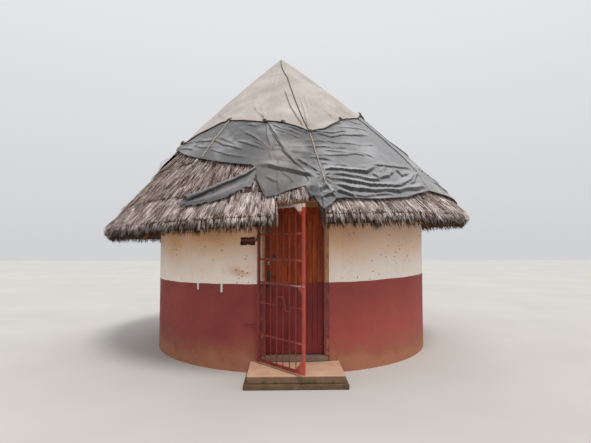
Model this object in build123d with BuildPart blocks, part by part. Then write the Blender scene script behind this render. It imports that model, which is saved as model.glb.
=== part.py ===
# Rondavel hut: a round plastered wall under a leaning thatched cone, with a boarded door
# behind a steel gate and a concrete step.
#
# Millimetres, +Z up. The origin is on the hut's axis at the lowest ground that the walls
# meet, and the door faces -Y. Azimuths turn anticlockwise seen from above, from +X.
import os
from math import cos, hypot, radians, sin, sqrt, tan

from build123d import *

os.makedirs("parts", exist_ok=True)

# Gap left between faces that only rest on each other
seat_gap = 0.3

# Round wall and floor
wall_radius = 2400
wall_thickness = 230
wall_over_lintel = 73
floor_level = 232
front = -90
full_turn = 360
segment_names = [
    "front_right_wall",
    "right_wall",
    "back_right_wall",
    "back_left_wall",
    "left_wall",
    "front_left_wall",
]

# Doorway
lintel_height = 110
lintel_bearing = 150
threshold_setback = 15

# Door leaf and its timber frame
leaf_width = 813
leaf_height = 2032
leaf_thickness = 40
leaf_gap = 5
leaf_foot_gap = 10
leaf_setback = 120
stile_width = 90
top_rail = 110
bottom_rail = 117
ledge_height = 140
ledge_level = 960
board_thickness = 22
board_recess = 6
frame_face = 70
frame_depth = 110
rebate_depth = 12

# Door furniture
hinge_pin_radius = 6
door_hinge_length = 100
door_hinge_foot = 220
door_hinge_drop = 232
hinge_flap_width = 30
hinge_flap_thickness = 2
lock_plate_width = 45
lock_plate_height = 250
lock_plate_thickness = 3
lock_edge_inset = 21
lock_level = 1010
lever_radius = 9
lever_reach = 46
lever_length = 105

# Steel gate, drawn closed and hung open
gate_hinge_aside = 40.5
gate_hinge_proud = 12
gate_foot_gap = 28
gate_open_angle = 48.6
gate_side_gap = 20
gate_top_drop = 94
gate_bar = 32
hinge_stile_gap = 3
gate_rod_radius = 6
gate_rod_count = 6
cross_bar_height = 25
cross_bar_thickness = 8
low_bar_level = 360
middle_bar_drop = 694
high_bar_drop = 364
lock_rail_level = 1050
lock_rail_height = 32
lock_rail_thickness = 12
motif_level = 780
motif_rise = 105
motif_drop = 60
motif_bar = 12
gusset_leg = 130
gusset_thickness = 4

# Gate hinges
hinge_barrel_radius = 11
hinge_barrel_length = 45
hinge_bore_radius = 6.5
hinge_pin = 6
hinge_washer_gap = 1
gate_hinge_foot = 470
gate_hinge_drop = 414
lug_height = 32
lug_thickness = 8
lug_reach = 290
lug_turn = 149

# Sliding bolt on the gate
bolt_radius = 8
bolt_length = 255
bolt_end = 16
bolt_standoff = 9
bolt_guide_width = 26
bolt_guide_height = 34
bolt_guide_inset = 215
bolt_play = 0.6
bolt_handle_radius = 6
bolt_handle_length = 38
bolt_handle_inset = 92
bolt_plate_leg = 75
bolt_plate_thickness = 4

# Doorstep
step_width = 1200
step_depth = 607
step_level = 161
footing_level = 62
footing_spread = 40

# Roof: a cone with slightly bulging sides, leaning to the left where it sits on the wall
roof_lean = 2.3
roof_pitch = 45.4
eave_overhang = 816
roof_bulge = 95
thatch_thickness = 170
course_setbacks = [1966, 786, 286]
course_step = 38
thatch_names = [
    "thatch_front",
    "thatch_front_right",
    "thatch_back_right",
    "thatch_back",
    "thatch_back_left",
    "thatch_front_left",
]
notch_left = -245
notch_right = 330
notch_clearance = 67

# Roof timbers
rafter_count = 16
rafter_diameter = 80
rafter_notch = 12
rafter_setback = 216
crown_radius = 230
crown_height = 170
lath_size = 25
lath_sides = 32
lath_setback = 256
lath_pitch = 310
lath_count = 9
plate_width = 110
plate_inset = 40
plate_height = 62
rafter_group_names = ["rafters_front", "rafters_right", "rafters_back", "rafters_left"]

# Covers tied over the thatch
cover_thickness = 6
cap_eyelet = 4
canvas_radius = 1850
cover_lap = 2
tarpaulin_left_setback = 766
tarpaulin_right_setback = 166
back_sheet_setback = 796
tarpaulin_left_span = (205, 261)
tarpaulin_right_span = (261, 385)
back_sheet_span = (25, 205)
strip_width = 130
strip_thickness = 24
strip_start_azimuth = -100.5
strip_start_setback = 516
strip_end_azimuth = -117
strip_end_setback = 236
strip_margin = 4

# Ropes
rope_radius = 7
rope_bend = 300
rope_end_gap = 5
rope_left_azimuth = 240
rope_left_lap = 110
rope_right_azimuth = 279
rope_right_start = 210
rope_right_setback = 316
apex_rope_azimuth = 277
apex_rope_start = 120

# Wall, doorway and leaf sizes that follow
inner_radius = wall_radius - wall_thickness
segment_sweep = full_turn / len(segment_names)
leaf_level = floor_level + leaf_foot_gap
leaf_face_y = -wall_radius + leaf_setback
frame_back_y = leaf_face_y + leaf_thickness
rebate_half = leaf_width / 2 + leaf_gap
doorway_half = rebate_half - rebate_depth + frame_face
rebate_top = leaf_level + leaf_height + leaf_gap
head_level = rebate_top - rebate_depth
head_top = head_level + frame_face
lintel_level = head_top
over_door_level = lintel_level + lintel_height
wall_height = over_door_level + wall_over_lintel
rebate_run = leaf_thickness + leaf_gap
door_hinge_levels = [door_hinge_foot, leaf_height / 2, leaf_height - door_hinge_drop]

# Gate and step sizes that follow
gate_hinge_x = -doorway_half - gate_hinge_aside
gate_hinge_y = -wall_radius - gate_hinge_proud
gate_level = step_level + gate_foot_gap
gate_width = 2 * doorway_half - gate_side_gap
gate_height = head_top - gate_top_drop - gate_level
cross_bar_levels = [
    low_bar_level,
    gate_height - middle_bar_drop,
    gate_height - high_bar_drop,
]
gate_hinge_levels = [gate_hinge_foot, gate_height - gate_hinge_drop]
step_front = wall_radius + step_depth

# Roof sizes that follow: it sits on the wall plate, and its datum is the plate's middle
plate_outer = wall_radius - plate_inset
plate_inner = plate_outer - plate_width
roof_datum = wall_height + plate_height / 2
slope_cos = cos(radians(roof_pitch))
slope_sin = sin(radians(roof_pitch))
slope_tan = tan(radians(roof_pitch))
roof_depth = thatch_thickness + lath_size + rafter_diameter
rafter_foot = plate_height / 2 - rafter_notch
apex_rise = rafter_foot + roof_depth / slope_cos + plate_outer * slope_tan
eave_radius = wall_radius + eave_overhang
eave_drop = eave_radius * slope_tan - apex_rise
roof_chord = eave_radius / slope_cos
roof_arc_radius = roof_chord**2 / (8 * roof_bulge) + roof_bulge / 2
arc_centre_r = eave_radius / 2 - (roof_arc_radius - roof_bulge) * slope_sin
arc_centre_h = (apex_rise - eave_drop) / 2 - (roof_arc_radius - roof_bulge) * slope_cos
thatch_sweep = full_turn / len(thatch_names)
course_radii = [0, *[eave_radius - setback for setback in course_setbacks], eave_radius]
cover_top = seat_gap + cover_thickness

lean = radians(roof_lean)
roof_shift = -plate_inner * tan(lean) / slope_tan
roof_plane = Plane(
    origin=(roof_shift, 0, roof_datum),
    x_dir=(cos(lean), 0, sin(lean)),
    z_dir=(-sin(lean), 0, cos(lean)),
)
roof_axis = Axis(roof_plane.origin, roof_plane.z_dir)


def bulge_height(r):
    """Height of the bulging curve from apex to eave at radius r."""
    return arc_centre_h + sqrt(roof_arc_radius**2 - (r - arc_centre_r) ** 2)


def thatch_top(r, lift=0):
    """Point on the thatch at radius r, each course straight, or lifted off it a little."""
    outer = next((radius for radius in course_radii[1:] if radius > r), eave_radius)
    inner = course_radii[course_radii.index(outer) - 1]
    fall = (bulge_height(inner) - bulge_height(outer)) / (outer - inner)
    height = bulge_height(outer) + fall * (outer - r)
    return (r, height + lift * hypot(1, fall))


def thatch_under(r, below=0):
    """Point of the straight underside at radius r, or of a line a little below it."""
    depth = thatch_thickness + below
    return (r, apex_rise - depth / slope_cos - r * slope_tan)


def thatch_line(inner, outer, lift=0):
    """Points down the thatch from one radius to another, one at each course between."""
    between = [radius for radius in course_radii if inner < radius < outer]
    return [thatch_top(radius, lift) for radius in [inner, *between, outer]]


def stepped_thatch():
    """Points down the bare thatch, each course tucked under the cut ends of the one above."""
    points = [thatch_top(0)]
    for radius in course_radii[1:-1]:
        top = thatch_top(radius)
        tuck = (top[0] - course_step * slope_sin, top[1] - course_step * slope_cos)
        points += [top, tuck]
    return points + [thatch_top(eave_radius)]


def upright(base, azimuth):
    """Plane through the base's axis: x outwards at the azimuth, y up the axis."""
    turn = radians(azimuth)
    outward = base.x_dir * cos(turn) + base.y_dir * sin(turn)
    return Plane(origin=base.origin, x_dir=outward, z_dir=outward.cross(base.z_dir))


def save(piece, name):
    """Label a finished piece and write its file."""
    piece.part.label = name
    export_step(piece.part, f"parts/{name}.step")


# Gate hinge lugs, built into the wall left of the doorway
hinge_point = Vector(gate_hinge_x, gate_hinge_y, gate_level)
lug_turn_plane = Plane(
    origin=hinge_point,
    x_dir=(cos(radians(lug_turn)), sin(radians(lug_turn)), 0),
    z_dir=(0, 0, 1),
)


def build_gate_lugs():
    """Flat bars from the wall, each with a barrel and an upright pin for the gate."""
    with BuildPart() as lugs:
        for level in gate_hinge_levels:
            barrel_top = level - hinge_washer_gap
            barrel_foot = barrel_top - hinge_barrel_length
            with BuildSketch(lug_turn_plane.offset(barrel_foot)):
                Circle(hinge_barrel_radius)
            extrude(amount=hinge_barrel_length)
            with BuildSketch(lug_turn_plane.offset(barrel_top)):
                Circle(hinge_pin)
            extrude(amount=hinge_barrel_length)
            lug_foot = barrel_foot + (hinge_barrel_length - lug_height) / 2
            with BuildSketch(lug_turn_plane.offset(lug_foot)):
                Rectangle(lug_reach, lug_thickness, align=(Align.MIN, Align.CENTER))
            extrude(amount=lug_height)
    return lugs


gate_lugs = build_gate_lugs()
save(gate_lugs, "gate_hinge_lugs")


# Wall
def build_wall_segment(index):
    """One sixth of the round wall, cut back at the doorway and for the lintel's ends."""
    start = front + index * segment_sweep
    with BuildPart() as segment:
        with BuildSketch(upright(Plane.XY, start)):
            with Locations((inner_radius, 0)):
                Rectangle(wall_thickness, wall_height, align=(Align.MIN, Align.MIN))
        revolve(axis=Axis.Z, revolution_arc=segment_sweep)
        with BuildSketch(Plane.XY):
            with Locations((0, -wall_radius)):
                Rectangle(2 * doorway_half, wall_radius)
        extrude(amount=wall_height, mode=Mode.SUBTRACT)
        with BuildSketch(Plane.XY.offset(lintel_level)):
            with Locations((0, -wall_radius)):
                Rectangle(2 * (doorway_half + lintel_bearing), wall_radius)
        extrude(amount=lintel_height, mode=Mode.SUBTRACT)
        if segment_names[index] == "front_left_wall":
            add(gate_lugs.part, mode=Mode.SUBTRACT)
    return segment


for index, name in enumerate(segment_names):
    save(build_wall_segment(index), name)


def build_doorway_block(half_width, foot, height, setback=0):
    """A stretch of the wall's ring as wide as the doorway, or a little wider."""
    with BuildPart() as block:
        with BuildSketch(Plane.XY.offset(foot)):
            Circle(wall_radius - setback)
            Circle(inner_radius, mode=Mode.SUBTRACT)
            with Locations((0, -wall_radius)):
                Rectangle(2 * half_width, wall_radius, mode=Mode.INTERSECT)
        extrude(amount=height)
    return block


save(
    build_doorway_block(doorway_half, 0, floor_level, threshold_setback), "door_threshold"
)
save(
    build_doorway_block(doorway_half + lintel_bearing, lintel_level, lintel_height),
    "door_lintel",
)
save(
    build_doorway_block(doorway_half, over_door_level, wall_height - over_door_level),
    "wall_over_door",
)

with BuildPart() as floor_slab:
    with BuildSketch():
        Circle(inner_radius)
    extrude(amount=floor_level)
save(floor_slab, "floor_slab")


# Doorstep on its spread footing, both scribed to the round wall
def build_step_block(spread, foot, height):
    """A block in front of the doorway, hollowed at the back to the wall's curve."""
    with BuildPart() as block:
        with BuildSketch(Plane.XY.offset(foot)):
            with Locations((0, -step_front - spread)):
                Rectangle(
                    step_width + 2 * spread,
                    step_front,
                    align=(Align.CENTER, Align.MIN),
                )
            Circle(wall_radius, mode=Mode.SUBTRACT)
        extrude(amount=height)
    return block


save(build_step_block(footing_spread, 0, footing_level), "step_footing")
save(build_step_block(0, footing_level, step_level - footing_level), "door_step")


# Door frame: two rebated jambs under a rebated head
def build_jamb(side):
    """A jamb whose inner back corner is rebated for the leaf; side is -1 left, 1 right."""
    with BuildPart() as jamb:
        with BuildSketch(Plane.XY.offset(floor_level)):
            with Locations((side * (doorway_half - frame_face / 2), frame_back_y)):
                Rectangle(frame_face, frame_depth, align=(Align.CENTER, Align.MAX))
            with Locations((side * (rebate_half - rebate_depth / 2), frame_back_y)):
                Rectangle(
                    rebate_depth,
                    rebate_run,
                    align=(Align.CENTER, Align.MAX),
                    mode=Mode.SUBTRACT,
                )
        extrude(amount=head_level - floor_level)
    return jamb


save(build_jamb(-1), "door_frame_left")
save(build_jamb(1), "door_frame_right")

with BuildPart() as door_frame_head:
    with BuildSketch(Plane.XY.offset(head_level)):
        with Locations((0, frame_back_y)):
            Rectangle(2 * doorway_half, frame_depth, align=(Align.CENTER, Align.MAX))
    extrude(amount=frame_face)
    with BuildSketch(Plane.XY.offset(head_level)):
        with Locations((0, frame_back_y)):
            Rectangle(2 * rebate_half, rebate_run, align=(Align.CENTER, Align.MAX))
    extrude(amount=rebate_depth, mode=Mode.SUBTRACT)
save(door_frame_head, "door_frame_head")


# Door leaf, drawn on its outside face with x across and y up from its foot
leaf_plane = Plane(origin=(0, leaf_face_y, leaf_level), x_dir=(1, 0, 0), z_dir=(0, -1, 0))
panel_width = leaf_width - 2 * stile_width
panel_height = leaf_height - top_rail - bottom_rail

with BuildPart() as door_rails:
    with BuildSketch(leaf_plane):
        Rectangle(leaf_width, leaf_height, align=(Align.CENTER, Align.MIN))
        with Locations((0, bottom_rail)):
            Rectangle(
                panel_width,
                panel_height,
                align=(Align.CENTER, Align.MIN),
                mode=Mode.SUBTRACT,
            )
    extrude(amount=-leaf_thickness)
    with BuildSketch(leaf_plane.offset(-board_recess - board_thickness)):
        with Locations((0, ledge_level)):
            Rectangle(panel_width, ledge_height)
    extrude(amount=board_recess + board_thickness - leaf_thickness)
save(door_rails, "door_stiles_and_rails")

with BuildPart() as door_boards:
    with BuildSketch(leaf_plane.offset(-board_recess)):
        with Locations((0, bottom_rail)):
            Rectangle(panel_width, panel_height, align=(Align.CENTER, Align.MIN))
    extrude(amount=-board_thickness)
save(door_boards, "door_boards")

# Door hinges on the right, on the room side
door_axis_x = leaf_width / 2 + leaf_gap
door_axis_y = frame_back_y + hinge_pin_radius + seat_gap

with BuildPart() as door_hinges:
    for level in door_hinge_levels:
        with BuildSketch(Plane.XY.offset(leaf_level + level)):
            with Locations((door_axis_x, door_axis_y)):
                Circle(hinge_pin_radius)
            with Locations((door_axis_x, frame_back_y)):
                Rectangle(
                    hinge_flap_width + leaf_gap,
                    hinge_flap_thickness,
                    align=(Align.MAX, Align.MIN),
                )
        extrude(amount=door_hinge_length)
save(door_hinges, "door_hinges")

# Lock plates and levers, one set outside and one inside
lock_x = -leaf_width / 2 + lock_edge_inset + lock_plate_width / 2

with BuildPart() as door_lock:
    for face in (leaf_plane, leaf_plane.offset(-leaf_thickness)):
        outward = 1 if face is leaf_plane else -1
        with BuildSketch(face):
            with Locations((lock_x, lock_level)):
                Rectangle(lock_plate_width, lock_plate_height)
        extrude(amount=outward * lock_plate_thickness)
        with BuildSketch(face):
            with Locations((lock_x, lock_level + lock_plate_width)):
                Circle(lever_radius)
        extrude(amount=outward * lever_reach)
        lever_face = face.offset(outward * (lever_reach - 2 * lever_radius))
        with BuildSketch(lever_face):
            with Locations((lock_x - lever_radius, lock_level + lock_plate_width)):
                Rectangle(lever_length, 2 * lever_radius, align=(Align.MIN, Align.CENTER))
        extrude(amount=outward * 2 * lever_radius)
save(door_lock, "door_lock")

# Gate, drawn on its middle plane: x from the hinge axis to the free side, y up
open_turn = radians(gate_open_angle)
gate_face = Plane(
    origin=hinge_point,
    x_dir=(cos(open_turn), -sin(open_turn), 0),
    z_dir=(-sin(open_turn), -cos(open_turn), 0),
)
gate_floor = Plane(origin=hinge_point, x_dir=gate_face.x_dir, z_dir=(0, 0, 1))
gate_stile_start = hinge_barrel_radius + hinge_stile_gap
gate_inner_start = gate_stile_start + gate_bar
gate_inner_end = gate_width - gate_bar
rod_pitch = (gate_inner_end - gate_inner_start) / (gate_rod_count + 1)
rod_positions = [gate_inner_start + rod_pitch * (k + 1) for k in range(gate_rod_count)]
gate_inner_height = gate_height - 2 * gate_bar

with BuildPart() as gate_frame:
    with BuildSketch(gate_face):
        with Locations((gate_stile_start, 0)):
            Rectangle(
                gate_width - gate_stile_start,
                gate_height,
                align=(Align.MIN, Align.MIN),
            )
        with Locations((gate_inner_start, gate_bar)):
            Rectangle(
                gate_inner_end - gate_inner_start,
                gate_inner_height,
                align=(Align.MIN, Align.MIN),
                mode=Mode.SUBTRACT,
            )
    extrude(amount=gate_bar / 2, both=True)
    for level in gate_hinge_levels:
        with BuildSketch(gate_floor.offset(level)):
            Circle(hinge_barrel_radius)
            Rectangle(gate_stile_start, lug_thickness, align=(Align.MIN, Align.CENTER))
        extrude(amount=hinge_barrel_length)
        with BuildSketch(gate_floor.offset(level)):
            Circle(hinge_bore_radius)
        extrude(amount=hinge_barrel_length + hinge_pin, mode=Mode.SUBTRACT)
save(gate_frame, "gate_frame")

motif_route = [
    (gate_inner_start, motif_level),
    (rod_positions[2], motif_level),
    (rod_positions[2], motif_level + motif_rise),
    (rod_positions[3], motif_level + motif_rise),
    (rod_positions[3] + rod_pitch / 2, motif_level - motif_drop),
    (rod_positions[4] + rod_pitch / 4, motif_level - motif_drop),
    (rod_positions[4] + rod_pitch / 4, motif_level),
    (gate_inner_end, motif_level),
]

with BuildPart() as gate_grille:
    with BuildSketch(gate_floor.offset(gate_bar)):
        with Locations(*[(x, 0) for x in rod_positions]):
            Circle(gate_rod_radius)
    extrude(amount=gate_inner_height)
    with BuildSketch(gate_face):
        for level in cross_bar_levels:
            with Locations((gate_inner_start, level)):
                Rectangle(
                    gate_inner_end - gate_inner_start,
                    cross_bar_height,
                    align=(Align.MIN, Align.CENTER),
                )
    extrude(amount=cross_bar_thickness / 2, both=True)
    with BuildSketch(gate_face):
        with Locations((gate_inner_start, lock_rail_level)):
            Rectangle(
                gate_inner_end - gate_inner_start,
                lock_rail_height,
                align=(Align.MIN, Align.CENTER),
            )
    extrude(amount=lock_rail_thickness / 2, both=True)
    with BuildSketch(gate_face):
        with BuildLine() as motif_line:
            Polyline(*motif_route)
        trace(motif_line.line, line_width=motif_bar)
        with Locations((gate_inner_start, motif_level)):
            Rectangle(
                gate_inner_end - gate_inner_start,
                4 * motif_rise,
                align=(Align.MIN, Align.CENTER),
                mode=Mode.INTERSECT,
            )
    extrude(amount=motif_bar / 2, both=True)
save(gate_grille, "gate_grille")


def gusset(corner_y, rise):
    """Triangle in the free corner at a height, reaching down or up the stile."""
    return [
        (gate_inner_end, corner_y),
        (gate_inner_end - gusset_leg, corner_y),
        (gate_inner_end, corner_y + rise),
    ]


with BuildPart() as gate_gussets:
    with BuildSketch(gate_face.offset(gate_bar / 2 - gusset_thickness)):
        with BuildLine():
            Polyline(*gusset(gate_height - gate_bar, -gusset_leg), close=True)
        make_face()
        with BuildLine():
            Polyline(*gusset(gate_bar, gusset_leg), close=True)
        make_face()
    extrude(amount=gusset_thickness)
save(gate_gussets, "gate_gussets")

# Sliding bolt in front of the lock rail, with its two guides and its plate
bolt_plane_offset = gate_bar / 2 + bolt_standoff
bolt_axis_plane = Plane(
    origin=gate_face.from_local_coords((0, lock_rail_level, bolt_plane_offset)),
    x_dir=gate_face.z_dir,
    z_dir=gate_face.x_dir,
)
bolt_start = gate_width + bolt_end - bolt_length
guide_centres = [gate_width - gate_bar / 2, gate_width - bolt_guide_inset]
guide_backs = [gate_bar / 2, lock_rail_thickness / 2]
guide_front = bolt_plane_offset + bolt_standoff + bolt_radius / 2

with BuildPart() as gate_bolt_guides:
    for centre, back in zip(guide_centres, guide_backs):
        with BuildSketch(gate_face.offset(back)):
            with Locations((centre, lock_rail_level)):
                Rectangle(bolt_guide_width, bolt_guide_height)
        extrude(amount=guide_front - back)
    with BuildSketch(bolt_axis_plane.offset(bolt_start)):
        Circle(bolt_radius + bolt_play)
    extrude(amount=bolt_length, mode=Mode.SUBTRACT)
    plate_top = lock_rail_level - lock_rail_height / 2
    with BuildSketch(gate_face.offset(gate_bar / 2 - bolt_plate_thickness)):
        with BuildLine():
            Polyline(
                (gate_inner_end, plate_top),
                (gate_inner_end - bolt_plate_leg, plate_top),
                (gate_inner_end, plate_top - bolt_plate_leg),
                close=True,
            )
        make_face()
    extrude(amount=bolt_plate_thickness)
save(gate_bolt_guides, "gate_bolt_guides")

with BuildPart() as gate_bolt:
    with BuildSketch(bolt_axis_plane.offset(bolt_start)):
        Circle(bolt_radius)
    extrude(amount=bolt_length)
    with BuildSketch(gate_face.offset(bolt_plane_offset)):
        with Locations((gate_width - bolt_handle_inset, lock_rail_level)):
            Circle(bolt_handle_radius)
    extrude(amount=bolt_handle_length)
save(gate_bolt, "gate_bolt")

# Wall plate, crown and rafters
with BuildPart() as wall_plate:
    with BuildSketch(Plane.XY.offset(wall_height)):
        Circle(plate_outer)
        Circle(plate_inner, mode=Mode.SUBTRACT)
    extrude(amount=plate_height)
save(wall_plate, "wall_plate")

rafter_depth = lath_size + rafter_diameter / 2
crown_middle = thatch_under(crown_radius, rafter_depth)[1]

with BuildPart() as crown_block:
    with BuildSketch(roof_plane.offset(crown_middle - crown_height / 2)):
        Circle(crown_radius)
    extrude(amount=crown_height)
save(crown_block, "crown_block")


def build_rafters(group):
    """A quarter of the rafter poles, notched over the plate and coped to the crown."""
    per_group = rafter_count // len(rafter_group_names)
    pitch = full_turn / rafter_count
    first = front + (group * per_group - (per_group - 1) / 2) * pitch
    with BuildPart() as rafters:
        for k in range(per_group):
            side = upright(roof_plane, first + k * pitch)
            foot = side.from_local_coords(thatch_under(eave_radius - rafter_setback, rafter_depth))
            top = side.from_local_coords(thatch_under(crown_radius / 2, rafter_depth))
            with BuildSketch(Plane(origin=foot, z_dir=top - foot)):
                Circle(rafter_diameter / 2)
            extrude(amount=(top - foot).length)
        with BuildSketch(roof_plane.offset(crown_middle - crown_radius)):
            Circle(crown_radius)
        extrude(amount=4 * crown_radius, mode=Mode.SUBTRACT)
        with BuildSketch(Plane.XY.offset(wall_height)):
            Circle(plate_outer + seat_gap)
            Circle(plate_inner - seat_gap, mode=Mode.SUBTRACT)
        extrude(amount=plate_height + seat_gap, mode=Mode.SUBTRACT)
    return rafters


for group, name in enumerate(rafter_group_names):
    save(build_rafters(group), name)

# Laths: rings of split pole over the rafters, the lowest cut away over the doorway
notch_width = notch_right - notch_left
notch_middle = (notch_left + notch_right) / 2

notch_level = gate_level + gate_height + notch_clearance

with BuildPart() as notch_block:
    with BuildSketch(Plane.XY.offset(notch_level)):
        with Locations((notch_middle, -wall_radius)):
            Rectangle(notch_width, eave_radius, align=(Align.CENTER, Align.MAX))
    extrude(amount=-roof_datum)


def build_lath_cone(radius, below):
    """A slice of many-sided cone, one lath wide, whose surface is a depth below the thatch."""
    foot_height = thatch_under(radius, seat_gap)[1]
    foot_radius = radius - (below - seat_gap) / slope_sin
    turn = front - full_turn / rafter_count / 2
    with BuildPart() as cone:
        with BuildSketch(roof_plane.offset(foot_height)):
            RegularPolygon(foot_radius, lath_sides, rotation=turn)
        with BuildSketch(roof_plane.offset(foot_height + lath_size * slope_sin)):
            RegularPolygon(foot_radius - lath_size * slope_cos, lath_sides, rotation=turn)
        loft()
    return cone


with BuildPart() as roof_laths:
    for index in range(lath_count):
        radius = eave_radius - lath_setback - index * lath_pitch
        add(build_lath_cone(radius, seat_gap).part)
        add(build_lath_cone(radius, lath_size - seat_gap).part, mode=Mode.SUBTRACT)
    add(notch_block.part, mode=Mode.SUBTRACT)
save(roof_laths, "roof_laths")


# Thatch, in six sectors that meet side to side
def build_thatch(index):
    """One sector of the thatch: stepped courses, a cut eave and a straight underside."""
    start = front + (index - 0.5) * thatch_sweep
    with BuildPart() as thatch:
        with BuildSketch(upright(roof_plane, start)):
            with BuildLine():
                Polyline(
                    *stepped_thatch(),
                    thatch_under(eave_radius - thatch_thickness * slope_sin),
                    thatch_under(0),
                    close=True,
                )
            make_face()
        revolve(axis=roof_axis, revolution_arc=thatch_sweep)
        if thatch_names[index] == "thatch_front":
            add(notch_block.part, mode=Mode.SUBTRACT)
    return thatch


for index, name in enumerate(thatch_names):
    save(build_thatch(index), name)


# Covers: sheets lying on the thatch
def cover_outline(inner, outer, thickness):
    """Section of a sheet on the thatch between two radii."""
    foot = thatch_line(inner, outer, seat_gap)
    top = thatch_line(inner, outer, seat_gap + thickness)
    return foot + top[::-1]


def build_cover(span, inner, outer, thickness=cover_thickness):
    """A sheet on the thatch between two azimuths and two radii."""
    with BuildPart() as cover:
        with BuildSketch(upright(roof_plane, span[0])):
            with BuildLine():
                Polyline(*cover_outline(inner, outer, thickness), close=True)
            make_face()
        revolve(axis=roof_axis, revolution_arc=span[1] - span[0])
    return cover


under_edge = canvas_radius + cover_lap
left_edge = eave_radius - tarpaulin_left_setback
right_edge = eave_radius - tarpaulin_right_setback
back_edge = eave_radius - back_sheet_setback

save(build_cover((front, front + full_turn), cap_eyelet, canvas_radius), "canvas_cap")
save(build_cover(tarpaulin_left_span, under_edge, left_edge), "tarpaulin_left")
save(build_cover(tarpaulin_right_span, under_edge, right_edge), "tarpaulin_right")
save(build_cover(back_sheet_span, under_edge, back_edge), "back_sheet")


# A torn strip of tarpaulin, rolled flat and lying down the thatch
def plan_point(azimuth, r):
    """Point at an azimuth and radius in the roof's own plan."""
    turn = radians(azimuth)
    return (r * cos(turn), r * sin(turn))


strip_start_radius = eave_radius - strip_start_setback
strip_end_radius = eave_radius - strip_end_setback
strip_span = (strip_end_azimuth - strip_margin, strip_start_azimuth + strip_margin)
strip_sheet = build_cover(
    strip_span,
    strip_start_radius - strip_width,
    eave_radius - strip_width,
    strip_thickness,
)

with BuildPart() as tarpaulin_strip:
    add(strip_sheet.part)
    with BuildSketch(roof_plane.offset(-eave_radius)):
        with BuildLine():
            strip_centre = Line(
                plan_point(strip_start_azimuth, strip_start_radius),
                plan_point(strip_end_azimuth, strip_end_radius),
            )
        SlotArc(strip_centre, strip_width)
    extrude(amount=2 * eave_radius, mode=Mode.INTERSECT)
save(tarpaulin_strip, "tarpaulin_strip")


# Ropes lying down the covers
def build_rope(azimuth, span, lift_on):
    """A rope down the slope at one azimuth, lying on what is lift_on thick."""
    lift = lift_on + rope_radius + seat_gap
    side = upright(roof_plane, azimuth)
    route_points = [side.from_local_coords(point) for point in thatch_line(*span, lift)]
    with BuildPart() as rope:
        with BuildLine() as route:
            if len(route_points) > 2:
                FilletPolyline(*route_points, radius=rope_bend)
            else:
                Line(*route_points)
        with BuildSketch(Plane(origin=route.line @ 0, z_dir=route.line % 0)):
            Circle(rope_radius)
        sweep(path=route.line)
    return rope


apex_rope_span = (apex_rope_start, canvas_radius - rope_end_gap)
rope_left_span = (canvas_radius - rope_left_lap, left_edge - rope_end_gap)
rope_right_span = (canvas_radius + rope_right_start, eave_radius - rope_right_setback)

save(build_rope(apex_rope_azimuth, apex_rope_span, cover_top), "apex_rope")
save(build_rope(rope_left_azimuth, rope_left_span, cover_top), "tie_rope_left")
save(build_rope(rope_right_azimuth, rope_right_span, cover_top), "tie_rope_right")

print("door axis", door_axis_x, door_axis_y)
print("gate hinge", tuple(hinge_point), "open", gate_open_angle)
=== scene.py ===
"""A rondavel hut: round plastered wall, straw roof, canvas and tarpaulins tied over it."""

import math
import random
from collections import namedtuple

import bpy
import numpy as np
from mathutils import Matrix, Vector, noise


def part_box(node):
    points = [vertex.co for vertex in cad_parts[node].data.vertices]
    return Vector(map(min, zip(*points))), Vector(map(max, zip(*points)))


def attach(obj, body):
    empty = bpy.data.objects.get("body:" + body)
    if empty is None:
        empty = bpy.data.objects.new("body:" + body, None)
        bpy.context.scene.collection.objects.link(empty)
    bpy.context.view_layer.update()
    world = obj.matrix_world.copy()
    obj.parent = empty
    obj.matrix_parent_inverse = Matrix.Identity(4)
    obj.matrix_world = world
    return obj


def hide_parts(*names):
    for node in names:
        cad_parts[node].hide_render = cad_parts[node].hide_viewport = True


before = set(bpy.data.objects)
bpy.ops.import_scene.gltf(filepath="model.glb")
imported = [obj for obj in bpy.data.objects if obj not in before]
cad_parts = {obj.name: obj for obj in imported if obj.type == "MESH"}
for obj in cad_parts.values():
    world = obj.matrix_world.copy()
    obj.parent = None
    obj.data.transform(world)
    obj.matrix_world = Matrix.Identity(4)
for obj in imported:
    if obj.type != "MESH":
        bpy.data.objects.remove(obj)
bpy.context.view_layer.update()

random.seed(11)

# Sizes repeated from the part's source, in metres
WALL_RADIUS = 2.4
WALL_THICKNESS = 0.23
WALL_HEIGHT = 2.52
DOORWAY_HALF = 0.4695
DOORWAY_TOP = 2.337
PAINT_LINE = 1.213
PAINT_LINE_RISE = 0.0194
ROOF_PITCH = math.radians(45.4)
ROOF_LEAN = math.radians(2.3)
ROOF_DATUM = 2.551
ROOF_SHIFT = -0.0891
ROOF_BULGE = 0.095
EAVE_RADIUS = 3.216
APEX_RISE = 2.8038
COURSE_RADII = (2.43, 2.93)
COURSE_STEP = 0.038
CHIP_PLACE = Vector((-0.652, -2.308, 1.79))
ROOF = Matrix.Translation((ROOF_SHIFT, 0, ROOF_DATUM)) @ Matrix.Rotation(-ROOF_LEAN, 4, "Y")

# The arc of the bulging slope: its radius, and the radius and height of its centre
EAVE_DROP = EAVE_RADIUS * math.tan(ROOF_PITCH) - APEX_RISE
SLOPE_RUN = EAVE_RADIUS / math.cos(ROOF_PITCH)
ARC = SLOPE_RUN**2 / (8 * ROOF_BULGE) + ROOF_BULGE / 2
ARC_R = EAVE_RADIUS / 2 - (ARC - ROOF_BULGE) * math.sin(ROOF_PITCH)
ARC_H = (APEX_RISE - EAVE_DROP) / 2 - (ARC - ROOF_BULGE) * math.cos(ROOF_PITCH)


def roof_height(r):
    """Height of the slope over the wall's datum, at a radius."""
    return ARC_H + math.sqrt(ARC**2 - (r - ARC_R) ** 2)


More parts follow.
